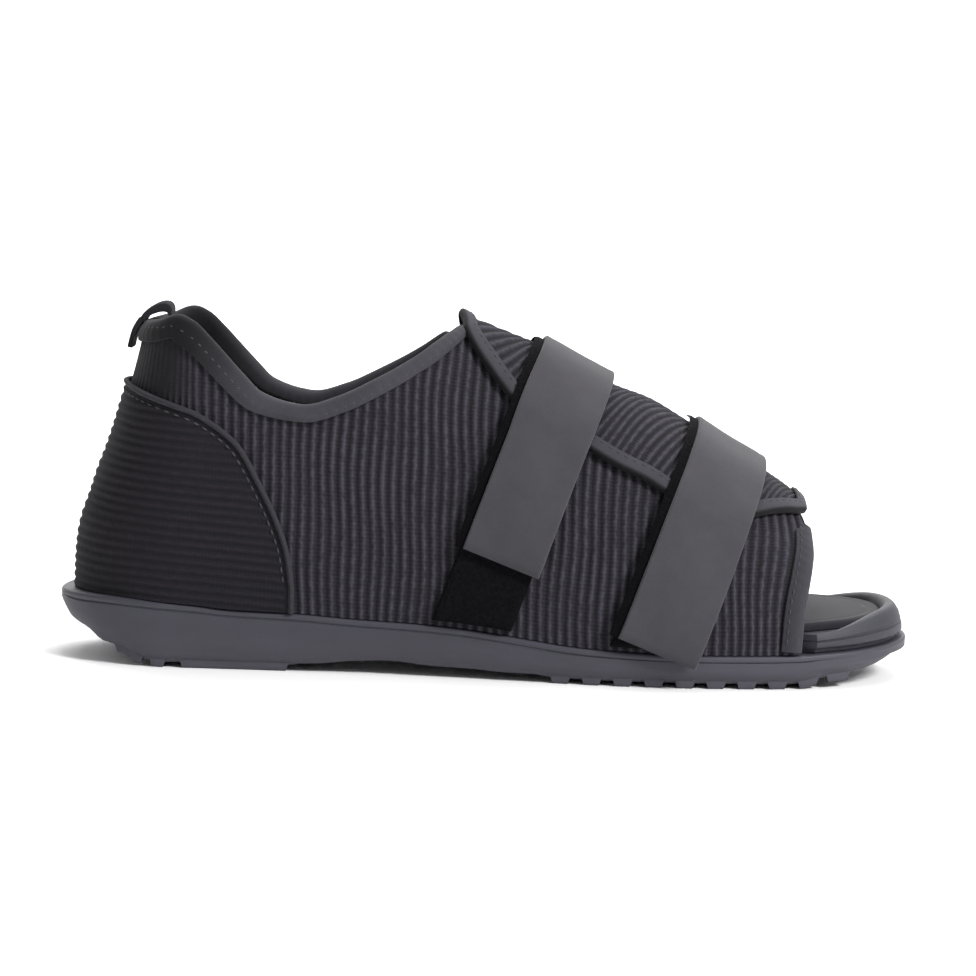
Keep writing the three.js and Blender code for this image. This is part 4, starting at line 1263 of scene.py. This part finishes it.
class SHOE_OT_flap(bpy.types.Operator):
    """Builds the front flap with slanting ribs"""

    bl_idname = "shoe.flap"
    bl_label = "Front flap"

    def execute(self, context):
        cloth = context.scene.shoe_cloth
        pitch, depth = cloth.flap_pitch / MM, cloth.rib_depth / MM
        xs = np.linspace(FLAP_REAR_X, FLAP_FRONT_X, 262)[:, None]
        start, end = flap_edges(xs)
        run = start + (end - start) * np.linspace(0, 1, 120)[None, :]
        points = flap_at(xs, run, FLAP_INNER)
        v = lengths_along(points, 1)
        phase = (xs * math.sin(cloth.flap_turn) - v * math.cos(cloth.flap_turn)) / pitch
        ribs = rib_height(phase)
        outer = flap_at(xs, run, FLAP_OUTER - depth * (1 - ribs))
        marks = {"phase": phase, "plain": 0, "trim_and_highlight": 0}
        obj, _ = shell("flap_mesh", points, outer, xs, v, marks)
        mesh = ribbed_mesh("ribbed_mesh_flap", cloth, cloth.mesh, math.pi / 2 - cloth.flap_turn)
        finish(obj, ["front_flap"], [mesh], angle=60)
        return {"FINISHED"}


def collar_path():
    """Edge of the collar, and a place inside the wall."""
    reach = FAN_LENGTH + THROAT_X - 0.9 - FAN_X
    us = np.linspace(-reach, reach, 420)
    return us, top_climb(us), np.array([(FAN_X + THROAT_X) / 2, 0, SOLE_HEIGHT * 1.5])


def toe_path(side):
    """Edge of the toe opening on one side, and a place behind it."""
    t = np.linspace(FEATHER, climb_of(TOE_TAPE_TOP[side]), 90)
    inside = wall_at(u_of(OPENING_X - OPENING_REACH, side), t[45], 0)
    return opening_u(u_of(OPENING_X, side), t), t, inside


def flap_path():
    """Free edges of the flap from its rear to its front, and a place inside it."""
    rear, front = flap_edges(FLAP_REAR_X), flap_edges(FLAP_FRONT_X)
    down = np.linspace(rear[1] - SEWN_CLIMB, rear[0], 120)
    xs = np.linspace(FLAP_REAR_X, FLAP_FRONT_X, 160)
    across = np.linspace(front[0], front[1] - SEWN_CLIMB, 90)
    p = np.concatenate([0 * down + FLAP_REAR_X, xs[1:], 0 * across[1:] + FLAP_FRONT_X])
    q = np.concatenate([down, flap_edges(xs)[0][1:], across[1:]])
    return p, q, cross_at((FLAP_REAR_X + FLAP_FRONT_X) / 2, 1.1, 0)


def flap_ring():
    """Outline of the flap's tape: outer leg and a rounded edge."""
    low, high = FLAP_OUTER + 0.25, FLAP_OUTER + 0.95
    foot = FLAP_INNER + 0.2
    nose = EDGE_GAP + TAPE
    outer = [(high, FLAP_TAPE), (high + 0.05, 2), (high, 0.3), (high - 0.25, -nose * 0.6),
             (high - 0.8, -nose), (foot + 0.5, -nose - 0.02), (foot, -nose + 0.25)]
    inner = [(foot, -EDGE_GAP), (low, -EDGE_GAP), (low, 1.5), (low, FLAP_TAPE)]
    return np.array(outer + inner)


class SHOE_OT_bindings(bpy.types.Operator):
    """Builds the tapes round the collar, toe opening and flap"""

    bl_idname = "shoe.bindings"
    bl_label = "Bindings"

    def execute(self, context):
        cloth = context.scene.shoe_cloth
        pitch = cloth.stitch_pitch / MM
        webbing = plain_cloth("woven_binding", cloth.tape, 0.8, 0.05, 0.7, 0.18)
        outer = WALL + EDGE_GAP + TAPE_LIFT + TAPE / 2
        inner = -INNER_GAP - TAPE / 2
        us, ts, inside = collar_path()

        def collar_ring(share):
            x = plan_x((share * 2 - 1) * us[-1])
            heel = ramp(FAN_X + 18, FAN_X - 6, x)
            return folded_ring(outer, inner, COLLAR_TAPE + (HEEL_TAPE - COLLAR_TAPE) * heel)

        def collar_shade(u, deep):
            """Painted shade, darker round the back of the heel."""
            return 0.9 * ramp(FAN_X + 24, FAN_X - 2, plan_x(u)) + 0 * deep

        collar = tape_piece(
            "collar_tape", wall_at, us, ts, inside, collar_ring, collar_shade, 0.08, pitch)
        finish(collar, ["collar_binding"], [webbing], angle=50)
        for side, name in ((-1, "lateral"), (1, "medial")):
            p, q, inside = toe_path(side)
            # Painted shade on the face of the tape, so that its rolled edge reads lighter
            toe = tape_piece(f"toe_tape_{name}", wall_at, p, q, inside,
                             lambda share: folded_ring(
                                 outer, inner, TOE_TAPE * (1 - 0.5 * ramp(0.9, 1, share))),
                             lambda u, deep: 0.3 * ramp(0, 3, deep), 0.08, pitch)
            finish(toe, [f"toe_binding_{name}"], [webbing], angle=50)
        p, q, inside = flap_path()
        # Painted shadow along the flap tape's rolled under edge, where it stands over the quarter
        flap = tape_piece("flap_tape", flap_at, p, q, inside, lambda share: flap_ring(),
                          lambda x, deep: 0.95 * ramp(0.4, -0.5, deep))
        finish(flap, ["flap_binding"], [webbing], angle=50)
        return {"FINISHED"}


def across_places(width, edge=0.9):
    """Places across a band, close together at its rounded edges."""
    fine = np.array([0, 0.05, 0.15, 0.3, 0.55, edge])
    middle = np.linspace(edge, width - edge, 17)[1:-1]
    return np.concatenate([fine, middle, width - fine[::-1]]) - width / 2


def band_grid(band, ws, end_run, rows):
    """Places along the foot, sides and climbs of a band's lines, at even runs."""
    ws = ws[:, None]
    start = band_start(band, ws[:, 0])[:, None]
    run = start + (end_run - start) * np.linspace(0, 1, rows)[None, :]
    side = np.where(run <= 1, -1, 1)
    t = np.where(run <= 1, run, 2 - run)
    return band_x(band, ws, side, t), side, t


def rounded_edge(distance, radius):
    """Share of full thickness near an edge, 0 at the edge."""
    f = np.clip(distance / radius, 0, 1)
    return np.sqrt(1 - (1 - f) ** 2)


def rounded_band(across, v, radius, blunt):
    """Share of full thickness on a band, rounded at its sides and at both ends."""
    ends = np.minimum(v, v[:, -1:] - v) + blunt
    return rounded_edge(across, radius) * rounded_edge(ends, radius)


class SHOE_OT_straps(bpy.types.Operator):
    """Builds the two straps with their hook tape backing"""

    bl_idname = "shoe.straps"
    bl_label = "Straps"

    def execute(self, context):
        cloth = context.scene.shoe_cloth
        brushed = plain_cloth("brushed_strap", cloth.strap, 0.88, 0.14, 0.55, 0.25, 0.13, False)
        hooks = pile_cloth("hook_tape", cloth.hook, 1.0)
        for band in (REAR_STRAP, FRONT_STRAP):
            ws = across_places(STRAP_WIDTH)
            x, side, t = band_grid(band, ws, 2 - SEWN_CLIMB, 170)
            sewn = np.where(side > 0, ramp(SEWN_FROM, SEWN_TO, t), 0)
            low = STRAP_INNER + (STRAP_SEWN_INNER - STRAP_INNER) * sewn
            high = STRAP_OUTER + (STRAP_SEWN_OUTER - STRAP_OUTER) * sewn
            inner = wall_at(u_of(x, side), t, low)
            v = lengths_along(inner, 1)
            across = (STRAP_WIDTH / 2 - np.abs(ws))[:, None]
            full = rounded_band(across, v, STRAP_EDGE, 0.02)
            # Slight waves along the strap, and a pressed line inside each long edge
            wave = 0.16 * np.sin(v / 9.5 + ws[:, None] * 0.12) + 0.1 * np.sin(v / 4.1 + 1.3)
            hollow = -0.12 * np.exp(-((across - 2.1) / 0.5) ** 2)
            lift = 0.35 + (high - low - 0.35 + wave + hollow) * full
            outer = wall_at(u_of(x, side), t, low + lift)
            obj, _ = shell(f"strap_{band['name']}_cloth", inner, outer, ws[:, None], v)
            finish(obj, [f"strap_{band['name']}"], [brushed], angle=70)
            self.backing(band, hooks)
        return {"FINISHED"}

    def backing(self, band, hooks):
        """Hook tape under a strap, showing along its rear edge."""
        ws = np.linspace(-STRAP_WIDTH / 2 - BACKING_SHOW, STRAP_WIDTH / 6, 22)
        start = band_start(band, ws)
        end_run = start.mean() + (2 - SEWN_CLIMB - start.mean()) * BACKING_REACH
        x, side, t = band_grid(band, ws, end_run, 90)
        inner = wall_at(u_of(x, side), t, BACKING_INNER)
        v = lengths_along(inner, 1)
        across = (ws - ws[0])[:, None]
        full = rounded_edge(across, 0.35) * 0.75 + 0.25
        outer = wall_at(u_of(x, side), t, BACKING_INNER + (BACKING_OUTER - BACKING_INNER) * full)
        obj, _ = shell(f"strap_{band['name']}_hook", inner, outer, ws[:, None], v)
        finish(obj, [f"strap_backing_{band['name']}"], [hooks], angle=60)


class SHOE_OT_patches(bpy.types.Operator):
    """Builds the loop pile patches under the strap ends"""

    bl_idname = "shoe.patches"
    bl_label = "Loop patches"

    def execute(self, context):
        pile = pile_cloth("loop_pile", context.scene.shoe_cloth.pile, 1.3)
        for band in (REAR_STRAP, FRONT_STRAP):
            ws = across_places(PATCH_WIDTH, PILE_EDGE)[:, None] + PATCH_SHIFT
            top = climb_of(band["loop_top"])
            t = FEATHER + (top - FEATHER) * np.linspace(0, 1, 60)[None, :]
            x = band_x(band, ws, -1, t)
            inner = wall_at(u_of(x, -1), t, FLAP_INNER)
            v = lengths_along(inner, 1)
            full = rounded_band(PATCH_WIDTH / 2 - np.abs(ws - PATCH_SHIFT), v, PILE_EDGE, 0.05)
            tuft = 0.12 * np.sin(v * 2.1 + ws * 1.7) * np.sin(ws * 2.3)
            lift = 0.5 + (PATCH_OUTER - FLAP_INNER - 0.5 + tuft) * full
            outer = wall_at(u_of(x, -1), t, FLAP_INNER + lift)
            obj, _ = shell(f"loop_patch_{band['name']}_pile", inner, outer, ws, v)
            finish(obj, [f"loop_patch_{band['name']}"], [pile], angle=60)
        return {"FINISHED"}


class SHOE_OT_pull_tab(bpy.types.Operator):
    """Builds the webbing loop at the back of the collar"""

    bl_idname = "shoe.pull_tab"
    bl_label = "Pull tab"

    def execute(self, context):
        width, thickness, rise, leg, lean = 14, 1.6, 6, 9, 3.5
        clearance, shoulder = 0.9, 1.2
        cord_depth, cord_pitch = 0.14, 1.75
        edge = top_climb(np.array(0.0))
        foot = climb_of(np.sin(edge * math.pi / 2) - leg / (RIDGE_TOP - SOLE_HEIGHT))
        outer_leg = WALL + EDGE_GAP + TAPE + clearance
        inner_leg = -INNER_GAP - TAPE - clearance
        top = wall_at(0, edge, 0)
        middle = wall_at(0, edge, (outer_leg + inner_leg) / 2)
        half = (outer_leg - inner_leg) / 2
        climbs = np.linspace(foot, edge, 12)
        angles = np.linspace(0, math.pi, 28)[1:-1]

        def line(extra):
            """Side view of the loop at a height over its inner face."""
            back = wall_at(0, climbs, outer_leg + extra)
            arc = np.stack([
                middle[0] - np.cos(angles) * (half + extra) + lean * np.sin(angles),
                0 * angles,
                top[2] + shoulder * np.minimum(1, np.sin(angles) * 3)
                + (rise - shoulder + extra) * np.sin(angles)], -1)
            if extra == 0:
                arc[:, 2] -= TAB_PAD * np.sin(angles)
            front = wall_at(0, climbs[::-1], inner_leg - extra)
            return np.concatenate([back, arc, front])

        low, high = line(0), line(thickness)
        ys = across_places(width, 1.0)
        full = rounded_edge(width / 2 - np.abs(ys), STRAP_EDGE)[:, None, None]
        rib = cord_depth * np.cos(ys * 2 * math.pi / cord_pitch)[:, None, None]
        inner = np.repeat(low[None], len(ys), 0)
        outer = inner + (high - low)[None] * (0.3 + (0.7 + rib / thickness) * full)
        for grid in (inner, outer):
            grid[..., 1] = ys[:, None]
        v = lengths_along(inner, 1)
        obj, _ = shell("pull_tab_webbing", inner, outer, ys[:, None], v)
        # The tab's dark colour is partly painted shade at the back of the heel
        colour = context.scene.shoe_cloth.tab
        webbing = plain_cloth("ribbed_webbing", colour, 0.82, 0.03, 0.9, 0.2, twill=False)
        finish(obj, ["pull_tab"], [webbing], angle=70)
        return {"FINISHED"}


class SHOE_OT_stitches(bpy.types.Operator):
    """Sews the rows of thread along tapes, counter and straps"""

    bl_idname = "shoe.stitches"
    bl_label = "Stitches"

    def execute(self, context):
        pitch = context.scene.shoe_cloth.stitch_pitch / MM
        tape_top = WALL + EDGE_GAP + TAPE_LIFT + TAPE
        rows = []
        us, ts, inside = collar_path()
        rows.append(seam_places(wall_at, us, ts, inside, COLLAR_TAPE - 1.5, tape_top + 0.1, pitch))
        for side in (-1, 1):
            p, q, inside = toe_path(side)
            rows.append(seam_places(wall_at, p, q, inside, TOE_TAPE - 1.3, tape_top + 0.1, pitch))
        p, q, inside = flap_path()
        rows.append(seam_places(flap_at, p, q, inside, FLAP_TAPE - 1.0, FLAP_OUTER + 1.05, pitch))
        rows.append(self.counter_row(pitch))
        xs = np.linspace(FLAP_REAR_X + 3, FLAP_FRONT_X - 3, 200)
        rows.append(seam_places(flap_at, xs, flap_edges(xs)[1], inside, 2.2,
                                FLAP_OUTER - 0.15, pitch))
        for band in (REAR_STRAP, FRONT_STRAP):
            rows.extend(self.strap_rows(band, pitch))
        centres, ahead, normal = [np.concatenate(parts) for parts in zip(*rows)]
        self.thread(context, centres, ahead, normal, pitch * 0.66)
        return {"FINISHED"}

    def counter_row(self, pitch):
        """One row inside the counter's piping."""
        reach = COUNTER_REACH - 0.05
        us = np.linspace(-reach, reach, 300)
        inside = np.array([FAN_X, 0, SOLE_HEIGHT])
        return seam_places(
            wall_at, us, counter_top(us), inside, 3.4, COUNTER_OUTER - 0.05, pitch)

    def strap_rows(self, band, pitch):
        """Two rows across the strap's sewn medial end."""
        found = []
        ws = np.linspace(-STRAP_WIDTH / 2 + 2, STRAP_WIDTH / 2 - 2, 30)
        for climb in (0.1, 0.24):
            x = band_x(band, ws, 1, np.full(30, climb))
            u = u_of(x, 1)
            inside = wall_at(u[15], 0.5, 0)
            found.append(seam_places(wall_at, u, np.full(30, climb), inside, 0,
                                     STRAP_SEWN_OUTER + 0.22, pitch))
        return found

    def thread(self, context, centres, ahead, normal, length):
        """One small rounded stitch, copied to every place."""
        sides, rings, radius, dip = 6, 5, 0.3, 0.22
        aside = np.cross(normal, ahead)
        local = []
        for b in np.linspace(-1, 1, rings):
            size = radius * math.sqrt(max(0.08, 1 - b * b * 0.92))
            for k in range(sides):
                a = 2 * math.pi * k / sides
                local.append((b * length / 2, size * math.cos(a),
                              size * 0.8 * math.sin(a) - dip * b * b))
        local = np.array(local)
        points = (centres[:, None] + local[None, :, :1] * ahead[:, None]
                  + local[None, :, 1:2] * aside[:, None] + local[None, :, 2:] * normal[:, None])
        one, size = ring_faces(rings, sides), sides * rings
        faces = [tuple(i + k * size for i in f) for k in range(len(centres)) for f in one]
        uv = np.zeros((len(centres) * size, 2))
        uv[:, 0] = np.tile(local[:, 0], len(centres))
        obj = new_mesh("seam_thread", points.reshape(-1, 3), faces, uv)
        colour = context.scene.shoe_cloth.thread
        thread = plain_cloth("polyester_thread", colour, 0.6, 0.02, 0.4, 0.05, 0.1, False)
        finish(obj, [], [thread], angle=80)


class SHOE_OT_stage(bpy.types.Operator):
    """Sets the camera, the pale floor and the soft lights"""

    bl_idname = "shoe.stage"
    bl_label = "Stage"

    def execute(self, context):
        stage = context.scene.shoe_stage
        self.camera(context, stage)
        self.floor(context, stage)
        self.lights(context)
        return {"FINISHED"}

    def camera(self, context, stage):
        """Camera level with the lateral side, a little above the floor."""
        aim = Vector((AIM_X * MM, SIDE_SHIFT * MM, stage.aim_height))
        tilt = stage.elevation
        back = Vector((0, -math.cos(tilt), math.sin(tilt)))
        right, up = Vector((1, 0, 0)), Vector((0, math.sin(tilt), math.cos(tilt)))
        rolled = right * math.cos(stage.roll) + up * math.sin(stage.roll)
        upright = up * math.cos(stage.roll) - right * math.sin(stage.roll)
        data = bpy.data.cameras.new("camera")
        data.lens = stage.lens
        data.sensor_width = 36
        data.clip_start = 0.01
        data.clip_end = 50
        camera = bpy.data.objects.new("camera", data)
        turn = Matrix((rolled, upright, back)).transposed()
        camera.matrix_world = Matrix.Translation(aim + back * stage.distance) @ turn.to_4x4()
        context.collection.objects.link(camera)
        context.scene.camera = camera

    def floor(self, context, stage):
        """Seamless paper: a wide floor that sweeps up far behind the shoe."""
        profile = [(y, 0) for y in (PAPER_NEAR, -1, 0, 1, PAPER_FAR)]
        for k in range(1, BEND_STEPS + 1):
            angle = math.pi / 2 * k / BEND_STEPS
            profile.append((PAPER_FAR + PAPER_BEND * math.sin(angle),
                            PAPER_BEND - PAPER_BEND * math.cos(angle)))
        profile.append((PAPER_FAR + PAPER_BEND, PAPER_TOP))
        points = [(x, y, z) for x in (-PAPER_SIDE, PAPER_SIDE) for y, z in profile]
        n = len(profile)
        faces = [(i, i + 1, n + i + 1, n + i) for i in range(n - 1)]
        mesh = bpy.data.meshes.new("paper_floor")
        mesh.from_pydata(points, [], faces)
        floor = bpy.data.objects.new("paper_floor", mesh)
        context.collection.objects.link(floor)
        use_only(floor)
        bpy.ops.object.shade_smooth()
        material, tree, shader = new_material("white_paper", 0.9, specular=0.2)
        shader.inputs["Base Color"].default_value = tuple(stage.paper)
        mesh.materials.append(material)

    def lights(self, context):
        """Large soft key from the front right, a top light and one for the paper behind."""
        world = bpy.data.worlds.new("studio")
        world.use_nodes = True
        world.node_tree.nodes["Background"].inputs[0].default_value = (1, 1, 1, 1)
        world.node_tree.nodes["Background"].inputs[1].default_value = 0.4
        context.scene.world = world
        context.scene.view_settings.view_transform = "Standard"
        # Name, place, aim, size, power in watts
        rows = [
            ("key", (1.35, -1.2, 1.4), (0.03, 0, 0.05), 0.7, 56),
            ("back", (0, 1.6, 2.6), (0, 3.2, 0.6), 2.4, 130),
            ("top", (0.2, 0.3, 1.7), (0, 0, 0.05), 1.4, 9),
        ]
        for name, place, aim, size, power in rows:
            data = bpy.data.lights.new(name, "AREA")
            data.shape = "DISK"
            data.size = size
            data.energy = power
            lamp = bpy.data.objects.new(name, data)
            lamp.location = place
            way = Vector(aim) - Vector(place)
            lamp.rotation_euler = way.to_track_quat("-Z", "Y").to_euler()
            context.collection.objects.link(lamp)


class SHOE_PT_panel(bpy.types.Panel):
    """Lists the pieces of the shoe in the order they are built"""

    bl_idname = "SHOE_PT_panel"
    bl_label = "Post operative shoe"
    bl_space_type = "VIEW_3D"
    bl_region_type = "UI"
    bl_category = "Shoe"

    def draw(self, context):
        for group in (context.scene.shoe_sole, context.scene.shoe_cloth, context.scene.shoe_stage):
            box = self.layout.box()
            for key in group.__annotations__:
                box.prop(group, key)
        for operator in OPERATORS:
            self.layout.operator(operator.bl_idname)


OPERATORS = [
    SHOE_OT_outsole, SHOE_OT_midsole, SHOE_OT_insole, SHOE_OT_upper, SHOE_OT_counter,
    SHOE_OT_flap, SHOE_OT_bindings, SHOE_OT_straps, SHOE_OT_patches, SHOE_OT_pull_tab,
    SHOE_OT_stitches, SHOE_OT_stage,
]
GROUPS = {"shoe_cloth": ShoeCloth, "shoe_sole": ShoeSole, "shoe_stage": ShoeStage}


def register():
    for item in [*GROUPS.values(), *OPERATORS, SHOE_PT_panel]:
        bpy.utils.register_class(item)
    for name, group in GROUPS.items():
        setattr(bpy.types.Scene, name, bpy.props.PointerProperty(type=group))


def unregister():
    for name in GROUPS:
        delattr(bpy.types.Scene, name)
    for item in reversed([*GROUPS.values(), *OPERATORS, SHOE_PT_panel]):
        bpy.utils.unregister_class(item)


def main():
    register()
    for operator in OPERATORS:
        group, name = operator.bl_idname.split(".")
        getattr(getattr(bpy.ops, group), name)()


if __name__ == "__main__":
    main()
